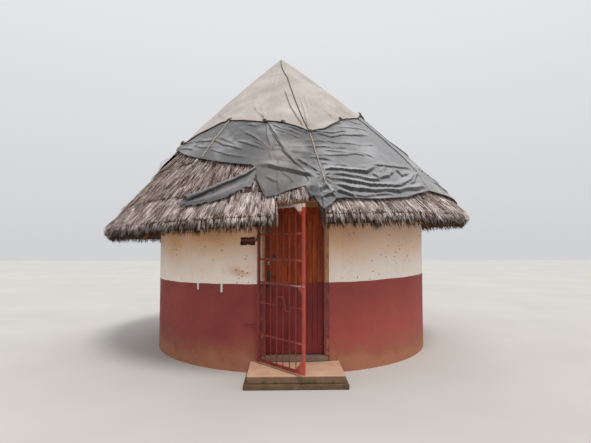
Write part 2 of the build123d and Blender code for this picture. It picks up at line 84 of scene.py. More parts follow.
# Working on a mesh as by hand
def clear_selection():
    """Nothing selected, so that an operator acts on the next piece alone."""
    bpy.ops.object.select_all(action="DESELECT")


def take(piece):
    """Only this piece selected and active."""
    clear_selection()
    piece.select_set(True)
    bpy.context.view_layer.objects.active = piece


def pick(piece, wanted, kind="VERT"):
    """In edit mode, selects the vertices or edges that a test on their place wants."""
    bpy.ops.mesh.select_mode(type=kind)
    bpy.ops.mesh.select_all(action="DESELECT")
    bpy.ops.object.mode_set(mode="OBJECT")
    mesh = piece.data
    if kind == "VERT":
        for vertex in mesh.vertices:
            vertex.select = wanted(vertex.co)
    else:
        for edge in mesh.edges:
            edge.select = wanted(*[mesh.vertices[i].co for i in edge.vertices])
    bpy.ops.object.mode_set(mode="EDIT")


def edit(piece):
    """Edit mode on one piece."""
    take(piece)
    bpy.ops.object.mode_set(mode="EDIT")


def leave_edit():
    """Back to object mode."""
    bpy.ops.object.mode_set(mode="OBJECT")


def settle_place(piece):
    """Puts the place, turn and scale into the mesh."""
    take(piece)
    bpy.ops.object.transform_apply(location=True, rotation=True, scale=True)


def set_on_roof(piece):
    """From the roof's own upright space to its lean and height on the wall."""
    piece.matrix_world = ROOF
    settle_place(piece)


def apply_modifiers(piece):
    """Every modifier of a piece made part of its mesh, in order."""
    take(piece)
    for modifier in list(piece.modifiers):
        bpy.ops.object.modifier_apply(modifier=modifier.name)


def join(pieces):
    """Joins pieces into the first."""
    clear_selection()
    for piece in pieces:
        piece.select_set(True)
    bpy.context.view_layer.objects.active = pieces[0]
    if len(pieces) > 1:
        bpy.ops.object.join()
    return pieces[0]


def soften(piece, angle):
    """Smooth shading, except over sharp edges."""
    take(piece)
    bpy.ops.object.shade_smooth_by_angle(angle=math.radians(angle))


def block(low, high):
    """A box between two corners, its place in its mesh."""
    low, high = Vector(low), Vector(high)
    bpy.ops.mesh.primitive_cube_add(size=1, location=(low + high) / 2)
    box = bpy.context.object
    box.scale = high - low
    settle_place(box)
    return box


def add_bevel(piece, width, angle):
    """Rounds the edges that are sharper than an angle, by a modifier."""
    modifier = piece.modifiers.new("bevel", "BEVEL")
    modifier.width = width
    modifier.segments = 2
    modifier.limit_method = "ANGLE"
    modifier.angle_limit = math.radians(angle)


def bevelled(piece, width):
    """A piece with its sharp edges rounded."""
    add_bevel(piece, width, 30)
    apply_modifiers(piece)
    return piece


def roughened(piece, size, depth):
    """Uneven surface, from a solid noise that fills the piece's own space."""
    texture = bpy.data.textures.new("unevenness", "CLOUDS")
    texture.noise_scale = size
    modifier = piece.modifiers.new("unevenness", "DISPLACE")
    modifier.texture = texture
    modifier.texture_coords = "LOCAL"
    modifier.strength = depth
    modifier.mid_level = 0.5
    apply_modifiers(piece)


def cut_away(piece, cutter):
    """Cuts one piece by another, which is used up."""
    modifier = piece.modifiers.new("cut", "BOOLEAN")
    modifier.operation = "DIFFERENCE"
    modifier.solver = "EXACT"
    modifier.object = cutter
    apply_modifiers(piece)
    bpy.data.objects.remove(cutter)


def hand_over(piece, name, finish, body="root", nodes=()):
    """A finished piece: its name, finish, body and the nodes that it stands for."""
    piece.name = name
    piece.data.name = name
    piece.data.materials.clear()
    piece.data.materials.append(finish)
    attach(piece, body)
    if nodes:
        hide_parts(*nodes)
    return piece


def dress(names, finish, edge=0.0):
    """A finish, and softened edges, on nodes that stay as they are."""
    for name in names:
        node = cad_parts[name]
        node.data.materials.clear()
        node.data.materials.append(finish)
        if edge:
            node.modifiers.new("weld", "WELD").merge_threshold = 0.00002
            add_bevel(node, edge, 40)


# Finishes
def linear(rgb):
    """A colour of 0 to 255 as the shader's linear one."""
    part = [c / 255 for c in rgb]
    return tuple(c / 12.92 if c <= 0.04045 else ((c + 0.055) / 1.055) ** 2.4 for c in part) + (1,)


def add_node(tree, kind, inputs=(), **settings):
    """A new node in a tree, with its settings made and its inputs set or linked."""
    made = tree.nodes.new(kind)
    for name, value in settings.items():
        setattr(made, name, value)
    for name, value in dict(inputs).items():
        if isinstance(value, bpy.types.NodeSocket):
            tree.links.new(value, made.inputs[name])
        else:
            made.inputs[name].default_value = value
    return made


class Finish:
    """A node material, made of a few kinds of pattern on the piece's own coordinates."""

    def __init__(self, name, roughness, metallic=0.0, sheen=0.0, specular=0.5):
        self.material = bpy.data.materials.new(name)
        self.material.use_nodes = True
        self.tree = self.material.node_tree
        self.shader = self.tree.nodes["Principled BSDF"]
        self.shader.inputs["Roughness"].default_value = roughness
        self.shader.inputs["Metallic"].default_value = metallic
        self.shader.inputs["Sheen Weight"].default_value = sheen
        self.shader.inputs["Specular IOR Level"].default_value = specular
        self.place = self.node("ShaderNodeTexCoord", {}, "Object")
        parts = add_node(self.tree, "ShaderNodeSeparateXYZ", {0: self.place})
        self.x, self.y, self.z = parts.outputs

    def node(self, kind, inputs, output=0, **settings):
        """One output of a new node."""
        return add_node(self.tree, kind, inputs, **settings).outputs[output]

    def drawn_out(self, squeeze):
        """Coordinates on which patterns run up and down, for a squeeze under 1."""
        return self.node("ShaderNodeMapping", {"Vector": self.place, "Scale": (1, 1, squeeze)})

    def grain(self, scale, detail=3.0, roughness=0.55, place=None, distortion=0.0):
        inputs = {"Scale": scale, "Detail": detail, "Roughness": roughness}
        inputs.update(Distortion=distortion, Vector=place or self.place)
        return self.node("ShaderNodeTexNoise", inputs)

    def cells(self, scale, place=None):
        inputs = {"Scale": scale, "Vector": place or self.place}
        return self.node("ShaderNodeTexVoronoi", inputs, "Distance")

    def weave(self, scale, distortion):
        inputs = {"Vector": self.place, "Scale": scale, "Distortion": distortion}
        return self.node("ShaderNodeTexWave", inputs)

    def attribute(self, name):
        return self.node("ShaderNodeAttribute", {}, "Fac", attribute_name=name)

    def reckon(self, operation, a, b=0.0, c=0.0):
        return self.node("ShaderNodeMath", {0: a, 1: b, 2: c}, operation=operation)

    def times(self, product, *factors):
        """Values multiplied together."""
        for factor in factors:
            product = self.reckon("MULTIPLY", product, factor)
        return product

    def fade(self, value, low, high, start=0.0, end=1.0):
        """A smooth change from start to end, while a value goes from low to high."""
        inputs = {"Value": value, "From Min": low, "From Max": high, "To Min": start, "To Max": end}
        return self.node("ShaderNodeMapRange", inputs, interpolation_type="SMOOTHSTEP")

    def unsteady(self, value, pattern, swing, low=0.3, high=0.7):
        """A value that a pattern pushes up and down, by at most the swing."""
        return self.reckon("ADD", value, self.fade(pattern, low, high, -swing, swing))

    def near(self, value, middle, half, soft):
        """1 within half of a middle, fading to 0 over a soft edge."""
        away = self.reckon("ABSOLUTE", self.reckon("SUBTRACT", value, middle))
        return self.fade(away, half, half + soft, 1.0, 0.0)

    def ramp(self, value, *stops):
        """Colours along a value, each stop a position and a colour."""
        made = add_node(self.tree, "ShaderNodeValToRGB", {0: value})
        marks = made.color_ramp.elements
        while len(marks) < len(stops):
            marks.new(0.5)
        for mark, (position, rgb) in zip(marks, stops):
            mark.position = position
            mark.color = linear(rgb)
        return made.outputs[0]

    def blend(self, share, first, second):
        """The first colour with a share of the second over it."""
        made = add_node(self.tree, "ShaderNodeMix", {0: share}, data_type="RGBA")
        for socket, value in ((made.inputs[6], first), (made.inputs[7], second)):
            if isinstance(value, bpy.types.NodeSocket):
                self.tree.links.new(value, socket)
            else:
                socket.default_value = linear(value)
        return made.outputs[2]

    def relief(self, height, distance, strength=1.0, under=None):
        """Bumps from a pattern, over those under it."""
        inputs = {"Height": height, "Distance": distance, "Strength": strength}
        if under is not None:
            inputs["Normal"] = under
        return self.node("ShaderNodeBump", inputs)

    def done(self, colour, normal=None, roughness=None):
        """The finished material, with what was made for it linked to its shader."""
        found = {"Base Color": colour, "Normal": normal, "Roughness": roughness}
        for name, value in found.items():
            if value is not None:
                self.tree.links.new(value, self.shader.inputs[name])
        return self.material

    def paint_line(self, waver=0.004):
        """How far a point lies over the line between the red paint and the upper finish."""
        line = self.reckon("MULTIPLY_ADD", self.x, PAINT_LINE_RISE, PAINT_LINE)
        over = self.reckon("SUBTRACT", self.z, line)
        return self.unsteady(over, self.grain(2.5, 2), waver)


def cream_limewash(wall, front_side):
    """Cream, browner towards the eave (part stain, part painted shadow of the eave), lighter to the
    right (painted light), with dust, streaks, a smear by the door and specks.
    """
    height = wall.unsteady(wall.z, wall.grain(1.1, 3), 0.10)
    # Browner towards the eave: partly stain, partly painted shadow of the eave
    cream = wall.ramp(
        wall.fade(height, 1.2, 2.2),
        (0.0, (250, 236, 224)),
        (0.3, (244, 220, 200)),
        (0.65, (238, 193, 154)),
        (1.0, (206, 140, 88)),
    )
    dust = wall.grain(7, 6, 0.65)
    cream = wall.blend(wall.fade(dust, 0.52, 0.75, 0, 0.22), cream, (206, 170, 138))
    streaks = wall.grain(16, 3, 0.6, wall.drawn_out(0.08))
    cream = wall.blend(wall.fade(streaks, 0.58, 0.76, 0, 0.25), cream, (192, 152, 118))
    # Painted light: the cream made lighter towards the right, where the light falls
    cream = wall.blend(wall.fade(wall.x, 0.2, 1.4, 0, 0.35), cream, (255, 246, 238))
    smear = wall.times(
        wall.near(wall.x, -0.72, 0.04, 0.24),
        wall.near(wall.z, 1.38, 0.01, 0.10),
        wall.fade(wall.grain(6, 4), 0.35, 0.6),
        front_side,
        0.55,
    )
    cream = wall.blend(smear, cream, (206, 138, 66))
    coarse = wall.fade(wall.cells(13), 0.17, 0.11)
    coarse = wall.times(coarse, wall.fade(wall.grain(2.3, 2), 0.44, 0.52))
    fine = wall.fade(wall.cells(30), 0.16, 0.09)
    fine = wall.times(fine, wall.fade(wall.grain(3.1, 2), 0.54, 0.6))
    specks = wall.times(wall.reckon("MAXIMUM", coarse, fine), 0.85)
    return wall.blend(specks, cream, (112, 70, 44))


def red_band(wall):
    """Red paint, patchy and scuffed, lighter to the right as painted light, and browned near the
    ground with splashed earth.
    """
    patches = wall.grain(1.4, 4, 0.6)
    red = wall.ramp(patches, (0.3, (130, 54, 49)), (0.5, (144, 62, 55)), (0.72, (156, 72, 63)))
    scuffs = wall.grain(34, 5, 0.7, wall.drawn_out(0.35))
    red = wall.blend(wall.fade(scuffs, 0.62, 0.8, 0, 0.35), red, (176, 118, 100))
    # Painted light: the red made lighter towards the right, where the light falls
    red = wall.blend(wall.fade(wall.x, -0.1, 1.1, 0, 0.5), red, (174, 82, 74))
    purple = wall.grain(2.1, 3, 0.5, wall.drawn_out(1.6))
    red = wall.blend(wall.fade(purple, 0.56, 0.7, 0, 0.175), red, (110, 56, 62))
    low = wall.unsteady(wall.z, wall.grain(3.2, 6, 0.62), 0.13, 0.25, 0.75)
    red = wall.blend(wall.fade(low, 0.55, 0.18, 0, 0.6), red, (146, 92, 68))
    return wall.blend(wall.fade(low, 0.28, 0.04, 0, 0.8), red, (162, 108, 78))


def plaster_finish():
    """Cream limewash over a red band, with two drips, a chipped patch and a sooty inner face."""
    wall = Finish("painted_plaster", 0.86)
    over = wall.paint_line()
    front_side = wall.fade(wall.y, -1.4, -1.6)
    cream = cream_limewash(wall, front_side)
    colour = wall.blend(wall.fade(over, -0.002, 0.002), red_band(wall), cream)
    trim = wall.near(over, 0.009, 0.005, 0.006)
    colour = wall.blend(wall.times(trim, 0.6), colour, (244, 238, 230))
    for at, run, half in ((-1.40, 0.085, 0.011), (-1.028, 0.11, 0.012)):
        across = wall.near(wall.x, at, half, 0.006)
        down = wall.near(over, -run / 2, run / 2, 0.01)
        colour = wall.blend(wall.times(across, down, front_side), colour, (226, 218, 212))
    flat = wall.node("ShaderNodeCombineXYZ", {0: wall.x, 1: wall.y})
    radius = wall.node("ShaderNodeVectorMath", {0: flat}, 1, operation="LENGTH")
    soot = wall.ramp(wall.grain(1.5, 4), (0.3, (150, 132, 112)), (0.7, (196, 182, 162)))
    colour = wall.blend(wall.fade(radius, 2.33, 2.31), colour, soot)
    chip = wall.times(
        wall.near(wall.x, CHIP_PLACE.x + 0.012, 0.15, 0.02),
        wall.near(wall.z, CHIP_PLACE.z, 0.075, 0.02),
        wall.fade(radius, WALL_RADIUS - 0.006, WALL_RADIUS - 0.010),
        front_side,
    )
    earth = wall.grain(30, 4, 0.7)
    earth = wall.ramp(earth, (0.35, (44, 24, 16)), (0.55, (92, 50, 34)), (0.75, (128, 84, 58)))
    colour = wall.blend(chip, colour, earth)
    trowelled = wall.relief(wall.grain(9, 5, 0.6), 0.006, 0.6)
    sandy = wall.relief(wall.grain(120, 3, 0.6), 0.0012, 0.6, trowelled)
    return wall.done(colour, sandy)


def concrete_finish(name, light, dark, moss=0.0, moss_top=0.15):
    """Worn concrete; where it is told to be, its sides darker with grime and painted shade, and
    mossy near the ground.
    """
    slab = Finish(name, 0.92)
    colour = slab.ramp(slab.grain(3.5, 6, 0.62), (0.28, dark), (0.7, light))
    sand = slab.grain(160, 2, 0.7)
    colour = slab.blend(slab.fade(sand, 0.55, 0.75, 0, 0.4), colour, (226, 198, 170))
    colour = slab.blend(slab.fade(slab.cells(55), 0.14, 0.05, 0, 0.5), colour, (96, 74, 56))
    if moss:
        # Sides below the top: grime, and painted shade of faces that get less light
        side = slab.fade(slab.z, moss_top + 0.008, moss_top - 0.012, 0, 0.85)
        side_grime_and_shade = slab.grain(9, 6, 0.65)
        side_grime_and_shade = slab.ramp(side_grime_and_shade, (0.3, (62, 46, 32)), (0.55, (92, 70, 50)), (0.75, (120, 94, 70)))
        colour = slab.blend(side, colour, side_grime_and_shade)
        low = slab.unsteady(slab.z, slab.grain(8, 4), 0.045)
        green = slab.grain(14, 6, 0.7)
        green = slab.ramp(green, (0.3, (48, 42, 30)), (0.55, (84, 76, 50)), (0.75, (92, 104, 46)))
        foot = slab.fade(low, moss_top - 0.06, moss_top - 0.11, 0, moss)
        colour = slab.blend(foot, colour, green)
    bumps = slab.relief(slab.grain(40, 6, 0.7), 0.004, 0.7)
    return slab.done(colour, bumps)


def pole_finish():
    """Smoke-browned pole timber, with bark flecks."""
    pole = Finish("pole_timber", 0.8)
    fibre = pole.grain(30, 5, 0.6, pole.drawn_out(0.5), 0.5)
    colour = pole.ramp(fibre, (0.3, (92, 66, 46)), (0.68, (150, 118, 86)))
    bark = pole.fade(pole.grain(7, 4), 0.5, 0.7, 0, 0.6)
    colour = pole.blend(bark, colour, (52, 36, 26))
    return pole.done(colour, pole.relief(fibre, 0.004, 0.7))


def board_finish(name, board_width=0.0, board_start=0.0):
    """Glossy dark varnish over the red paint, on upright grain that differs from board to board."""
    wood = Finish(name, 0.5, specular=0.25)
    over = wood.paint_line(0.006)
    place = wood.drawn_out(0.06)
    if board_width:
        across = wood.reckon("SUBTRACT", wood.x, board_start)
        number = wood.reckon("FLOOR", wood.reckon("DIVIDE", across, board_width))
        shift = wood.node("ShaderNodeCombineXYZ", {0: number, 1: number, 2: number})
        place = wood.node("ShaderNodeVectorMath", {0: place, 1: shift}, operation="ADD")
    fibre = wood.grain(42, 6, 0.62, place, 1.2)
    broad = wood.grain(9, 3, 0.5, place, 0.8)
    varnish = wood.ramp(fibre, (0.3, (96, 30, 4)), (0.5, (144, 54, 8)), (0.7, (186, 84, 20)))
    varnish = wood.blend(wood.fade(broad, 0.45, 0.7, 0, 0.6), varnish, (112, 38, 6))
    worn = wood.fade(wood.grain(6, 5, 0.7, place), 0.5, 0.68)
    worn = wood.times(wood.fade(over, 0.5, 0.0), worn, 0.75)
    varnish = wood.blend(worn, varnish, (160, 92, 40))
    knots = wood.fade(wood.cells(7, wood.drawn_out(0.45)), 0.09, 0.04)
    varnish = wood.blend(knots, varnish, (38, 14, 6))
    red = wood.grain(5, 5, 0.6, wood.drawn_out(0.4))
    red = wood.ramp(red, (0.3, (104, 35, 34)), (0.7, (130, 51, 48)))
    red = wood.blend(wood.fade(fibre, 0.62, 0.8, 0, 0.35), red, (140, 76, 66))
    colour = wood.blend(wood.fade(over, -0.004, 0.004), red, varnish)
    gloss = wood.fade(over, -0.004, 0.004, 0.6, 0.42)
    return wood.done(colour, wood.relief(fibre, 0.0012, 0.5), gloss)


def frame_finish():
    """Weathered frame timber, its outer edges chipped to tan wood, painted red below."""
    wood = Finish("frame_timber", 0.62)
    over = wood.paint_line(0.006)
    fibre = wood.grain(36, 5, 0.6, wood.drawn_out(0.07), 0.6)
    face = wood.ramp(fibre, (0.3, (136, 88, 66)), (0.55, (178, 128, 100)), (0.75, (198, 154, 124)))
    outwards = wood.reckon("ABSOLUTE", wood.x)
    ragged = wood.unsteady(outwards, wood.grain(22, 4, 0.7, wood.drawn_out(0.25)), 0.028)
    edge = wood.fade(ragged, 0.430, 0.440)
    tan = wood.grain(12, 4)
    tan = wood.ramp(tan, (0.3, (150, 92, 40)), (0.6, (196, 140, 84)), (0.8, (222, 196, 160)))
    face = wood.blend(wood.times(edge, 0.9), face, tan)
    left_side = wood.fade(wood.x, -0.446, -0.450)
    left_side = wood.times(wood.fade(wood.x, 0.0, -0.1), left_side, 0.9)
    face = wood.blend(left_side, face, (226, 198, 172))
    # Painted shadow: the jamb's inner edge darkened where the gap beside the door leaf lies in
    # shade
    face = wood.blend(wood.fade(outwards, 0.424, 0.416, 0, 0.5), face, (92, 52, 36))
    face = wood.blend(wood.fade(wood.z, 2.262, 2.268, 0, 0.6), face, (176, 122, 74))
    red = wood.ramp(wood.grain(5, 5, 0.6), (0.3, (104, 40, 40)), (0.7, (132, 58, 54)))
    bared = wood.times(edge, wood.fade(wood.grain(9, 4), 0.5, 0.6, 0, 0.5))
    red = wood.blend(bared, red, (170, 112, 76))
    colour = wood.blend(wood.fade(over, -0.004, 0.004), red, face)
    return wood.done(colour, wood.relief(fibre, 0.002, 0.6))


def gate_paint(name, bare_above):
    """Red oxide paint on steel, paler on the free stile, bare and rusting in places."""
    steel = Finish(name, 0.5)
    patches = steel.grain(9, 5, 0.6)
    deep = steel.ramp(patches, (0.3, (96, 22, 14)), (0.55, (124, 32, 22)), (0.75, (142, 46, 34)))
    pale = steel.ramp(patches, (0.3, (152, 50, 36)), (0.55, (170, 63, 47)), (0.75, (184, 88, 70)))
    colour = steel.blend(steel.fade(steel.y, -2.95, -3.07), deep, pale)
    bare = steel.grain(14, 4, 0.6)
    bare = steel.ramp(bare, (0.3, (190, 120, 98)), (0.45, (206, 188, 176)), (0.7, (224, 220, 218)))
    scraped = steel.fade(steel.z, bare_above - 0.005, bare_above + 0.005, 0, 0.9)
    colour = steel.blend(scraped, colour, bare)
    rust = steel.fade(steel.grain(26, 6, 0.7), 0.6, 0.7)
    colour = steel.blend(steel.times(rust, 0.75), colour, (86, 44, 26))
    worn = steel.fade(steel.grain(60, 4, 0.7), 0.66, 0.74, 0, 0.6)
    colour = steel.blend(worn, colour, (206, 150, 132))
    brushed = steel.relief(steel.grain(90, 4, 0.7), 0.0008, 0.7)
    return steel.done(colour, brushed, steel.fade(rust, 0, 1, 0.45, 0.85))


def metal_finish(name, dark, light, metallic, roughness):
    """Bare steel, dulled and spotted with rust."""
    metal = Finish(name, roughness, metallic)
    colour = metal.ramp(metal.grain(30, 5, 0.65), (0.35, dark), (0.65, light))
    rust = metal.fade(metal.grain(70, 5, 0.7), 0.6, 0.72, 0, 0.7)
    colour = metal.blend(rust, colour, (84, 48, 30))
    return metal.done(colour, metal.relief(metal.grain(140, 3), 0.0005, 0.6))


def thatch_core_finish():
    """Packed straw seen under the eave and between the tufts."""
    core = Finish("thatch_core", 0.95)
    straws = core.grain(70, 4, 0.7, core.drawn_out(0.3), 0.6)
    colour = core.ramp(straws, (0.3, (34, 22, 14)), (0.55, (78, 56, 40)), (0.75, (120, 94, 70)))
    return core.done(colour, core.relief(straws, 0.012, 0.9))


def straw_finish():
    """Weathered straw: each tuft and each blade its own tint, darker towards the cut ends."""
    straw = Finish("straw", 0.9)
    blade = straw.times(straw.attribute("blade"), 0.34)
    mixed = straw.reckon("MULTIPLY_ADD", straw.attribute("tint"), 0.66, blade)
    mixed = straw.unsteady(mixed, straw.grain(3.2, 4, 0.6), 0.16)
    colour = straw.ramp(
        mixed,
        (0.08, (62, 46, 40)),
        (0.3, (134, 116, 109)),
        (0.5, (184, 168, 162)),
        (0.72, (222, 209, 204)),
        (0.95, (250, 243, 239)),
    )
    browner = straw.fade(straw.grain(1.3, 3, 0.5), 0.45, 0.65, 0, 0.22)
    colour = straw.blend(browner, colour, (150, 126, 108))
    colour = straw.blend(straw.fade(straw.z, 2.3, 2.8, 0, 0.3), colour, (122, 100, 88))
    dark = straw.ramp(mixed, (0.2, (30, 16, 9)), (0.6, (76, 52, 36)), (1.0, (128, 98, 74)))
    return straw.done(straw.blend(straw.attribute("age"), colour, dark))


def canvas_finish():
    """Sun-bleached beige canvas, with sewn seams, painted light and shade on its folds, and a dark
    hem that is partly its bound edge and partly painted shadow.
    """
    cloth = Finish("canvas", 0.88, sheen=0.15)
    colour = cloth.ramp(
        cloth.grain(2.2, 5, 0.6),
        (0.3, (154, 145, 137)),
        (0.55, (175, 167, 160)),
        (0.75, (193, 186, 180)),
    )
    dirt = cloth.grain(9, 6, 0.68)
    colour = cloth.blend(cloth.fade(dirt, 0.54, 0.76, 0, 0.3), colour, (166, 148, 132))
    fall = cloth.attribute("hem")
    seam = cloth.near(cloth.attribute("down"), 0.62, 0.004, 0.006)
    colour = cloth.blend(cloth.times(seam, 0.5), colour, (150, 136, 124))
    colour = cloth.blend(cloth.fade(fall, 0.0, 0.11, 0.35, 0), colour, (172, 154, 138))
    # Painted light and shade: paler where a fold faces up and right, darker where it faces down and
    # left
    fold_light = cloth.attribute("fold")
    colour = cloth.blend(cloth.fade(fold_light, 0.45, 0.15, 0, 0.8), colour, (112, 98, 88))
    colour = cloth.blend(cloth.fade(fold_light, 0.6, 1.0, 0, 0.2), colour, (216, 210, 206))
    # Dark hem: partly the bound edge, partly painted shadow along it
    colour = cloth.blend(cloth.fade(fall, 0.016, 0.010), colour, (66, 60, 58))
    normal = cloth.relief(cloth.weave(190.0, 1.5), 0.0003, 0.35)
    return cloth.done(colour, cloth.relief(cloth.grain(16, 4, 0.6), 0.004, 0.5, normal))


def tarpaulin_finish(name, deep, dark, mid, light, stain_and_shadow):
    """Coated tarpaulin, greyed, with painted light and shade on its folds: paler where they face
    up, darker where they face down.
    """
    sheet = Finish(name, 0.56, sheen=0.2)
    colour = sheet.ramp(sheet.grain(2.3, 3, 0.5), (0.28, dark), (0.5, mid), (0.85, light))
    # Painted light and sheen: the sheet made lighter towards the right
    colour = sheet.blend(sheet.fade(sheet.x, 0.1, 1.0, 0, 0.36), colour, light)
    dust = sheet.grain(19, 6, 0.7)
    colour = sheet.blend(sheet.fade(dust, 0.55, 0.76, 0, 0.18), colour, (168, 160, 154))
    # Painted light and shade: paler where a fold faces up and right, darker where it faces down and
    # left
    fold_light = sheet.attribute("fold")
    colour = sheet.blend(sheet.fade(fold_light, 0.54, 0.9, 0, 0.6), colour, light)
    colour = sheet.blend(sheet.fade(fold_light, 0.44, 0.04, 0, 0.92), colour, deep)
    down = sheet.attribute("down")
    along = sheet.times(sheet.attribute("along"), 3.0)
    flat = sheet.node("ShaderNodeCombineXYZ", {0: along, 1: sheet.times(down, 15.0)})
    crumple = sheet.grain(1.0, 5.0, 0.6, flat, 0.8)
    # Painted shade and light of the small crumples, from the same noise as their bumps
    colour = sheet.blend(sheet.fade(crumple, 0.42, 0.28, 0, 0.35), colour, deep)
    colour = sheet.blend(sheet.fade(crumple, 0.56, 0.72, 0, 0.2), colour, light)
    # Where asked: a brownish stain beside the gathered folds, then a painted shadow under the
    # overhang
    if stain_and_shadow:
        beside = sheet.near(sheet.x, -0.22, 0.1, 0.32)
        dusty = sheet.times(beside, sheet.near(sheet.y, -2.62, 0.2, 0.35), 0.3)
        colour = sheet.blend(dusty, colour, (122, 110, 100))
        # Painted shadow under the overhanging seam of the left sheet, on the flap below it
        shaded = sheet.fade(down, 2.60, 2.68, 0, 0.5)
        shaded = sheet.times(shaded, sheet.fade(sheet.x, 0.14, 0.02))
        colour = sheet.blend(shaded, colour, (62, 59, 58))
    colour = sheet.blend(sheet.fade(sheet.attribute("hem"), 0.012, 0.004), colour, dark)
    normal = sheet.relief(sheet.weave(120.0, 1.0), 0.0003, 0.3)
    normal = sheet.relief(sheet.grain(26, 5, 0.65), 0.004, 0.5, normal)
    normal = sheet.relief(crumple, 0.02, 0.5, normal)
    return sheet.done(colour, normal, sheet.fade(dust, 0.4, 0.7, 0.48, 0.72))


def rope_finish(name, dark, light):
    """Twisted fibre, fuzzy with wear."""
    rope = Finish(name, 0.9)
    fibre = rope.grain(220, 4, 0.7)
    colour = rope.ramp(fibre, (0.3, dark), (0.7, light))
    return rope.done(colour, rope.relief(fibre, 0.001, 0.8))


PLASTER = plaster_finish()
STEP_CONCRETE = concrete_finish("step_concrete", (204, 166, 138), (172, 132, 104), 0.9, 0.150)
FOOTING_CONCRETE = concrete_finish("footing_concrete", (150, 118, 90), (108, 82, 60), 0.85, 0.09)
FLOOR_CONCRETE = concrete_finish("floor_concrete", (128, 106, 92), (94, 76, 63))
POLE = pole_finish()
FRAME_TIMBER = frame_finish()
STILES = board_finish("door_timber")
GATE_PAINT = gate_paint("gate_paint", 2.20)
GUSSET_PAINT = gate_paint("gusset_paint", 2.15)
DARK_STEEL = metal_finish("dark_steel", (44, 38, 34), (92, 82, 74), 0.6, 0.6)
BRIGHT_STEEL = metal_finish("bright_steel", (170, 164, 156), (214, 210, 204), 0.8, 0.38)
THATCH_CORE = thatch_core_finish()
STRAW = straw_finish()
CANVAS = canvas_finish()
TARPAULIN = tarpaulin_finish(
    "tarpaulin", (28, 28, 29), (71, 70, 72), (85, 84, 86), (172, 172, 175), stain_and_shadow=True
)
PALE_SHEET = tarpaulin_finish(
    "pale_sheet", (118, 112, 120), (174, 168, 176), (204, 199, 207), (234, 231, 237), stain_and_shadow=False
)
PALE_ROPE = rope_finish("pale_rope", (136, 124, 106), (202, 192, 176))
DARK_ROPE = rope_finish("dark_rope", (52, 46, 42), (98, 90, 82))


# The camera, floor and light
camera = bpy.data.cameras.new("camera")
camera.lens = 26.35
camera_object = bpy.data.objects.new("camera", camera)
camera_object.location = (-0.158, -8.324, 1.740)
camera_object.rotation_euler = (math.radians(93.084), 0, math.radians(-1.605))
bpy.context.scene.collection.objects.link(camera_object)
bpy.context.scene.camera = camera_object
bpy.context.scene.view_settings.view_transform = "Standard"

clear_selection()
bpy.ops.mesh.primitive_plane_add(size=80, location=(0, 0, 0))
ground = bpy.context.object
ground.name = "floor"
floor_finish = Finish("pale_floor", 0.9)
floor_tint = floor_finish.grain(0.4, 2)
floor_tint = floor_finish.ramp(floor_tint, (0.3, (186, 183, 178)), (0.7, (194, 191, 186)))
ground.data.materials.append(floor_finish.done(floor_tint))
settle_place(ground)

world = bpy.data.worlds.new("soft_light")
world.use_nodes = True
sky = world.node_tree
direction = add_node(sky, "ShaderNodeTexCoord").outputs["Generated"]
above = add_node(sky, "ShaderNodeSeparateXYZ", {0: direction}).outputs["Z"]
limits = {"Value": above, "From Min": 0.0, "From Max": 1.0, "To Min": 0.66, "To Max": 0.98}
brightness = add_node(sky, "ShaderNodeMapRange", limits).outputs[0]
sky.links.new(brightness, sky.nodes["Background"].inputs["Strength"])
sky.nodes["Background"].inputs["Color"].default_value = (0.96, 0.975, 1.0, 1)
bpy.context.scene.world = world

sun = bpy.data.lights.new("sun", "SUN")
sun.energy = 1.9
sun.angle = math.radians(20)
sun.color = (1.0, 0.96, 0.91)
sun_object = bpy.data.objects.new("sun", sun)
sun_object.rotation_euler = (math.radians(24), math.radians(16), math.radians(-6))
bpy.context.scene.collection.objects.link(sun_object)


# The wall
def turn_wall_section(levels=45, steps=212):
    """The wall's outline, divided into levels and spun into a ring."""
    middle = WALL_RADIUS - WALL_THICKNESS / 2
    bpy.ops.mesh.primitive_plane_add(
        size=1, location=(middle, 0, WALL_HEIGHT / 2), rotation=(math.pi / 2, 0, 0)
    )
    wall = bpy.context.object
    wall.scale = (WALL_THICKNESS, WALL_HEIGHT, 1)
    settle_place(wall)
    edit(wall)
    pick(wall, lambda a, b: abs(a.z - b.z) > 0.1, "EDGE")
    bpy.ops.mesh.subdivide(number_cuts=levels - 1)
    bpy.ops.mesh.select_all(action="SELECT")
    bpy.ops.mesh.delete(type="ONLY_FACE")
    pick(wall, lambda a, b: abs(a.x - b.x) > 0.1 and 0.01 < a.z < WALL_HEIGHT - 0.01, "EDGE")
    bpy.ops.mesh.delete(type="EDGE")
    bpy.ops.mesh.select_all(action="SELECT")
    bpy.ops.mesh.spin(
        steps=steps, angle=2 * math.pi, center=(0, 0, 0), axis=(0, 0, 1), use_auto_merge=True
    )
    bpy.ops.mesh.select_all(action="SELECT")
    bpy.ops.mesh.remove_doubles(threshold=0.0005)
    bpy.ops.mesh.normals_make_consistent(inside=False)
    leave_edit()
    return wall


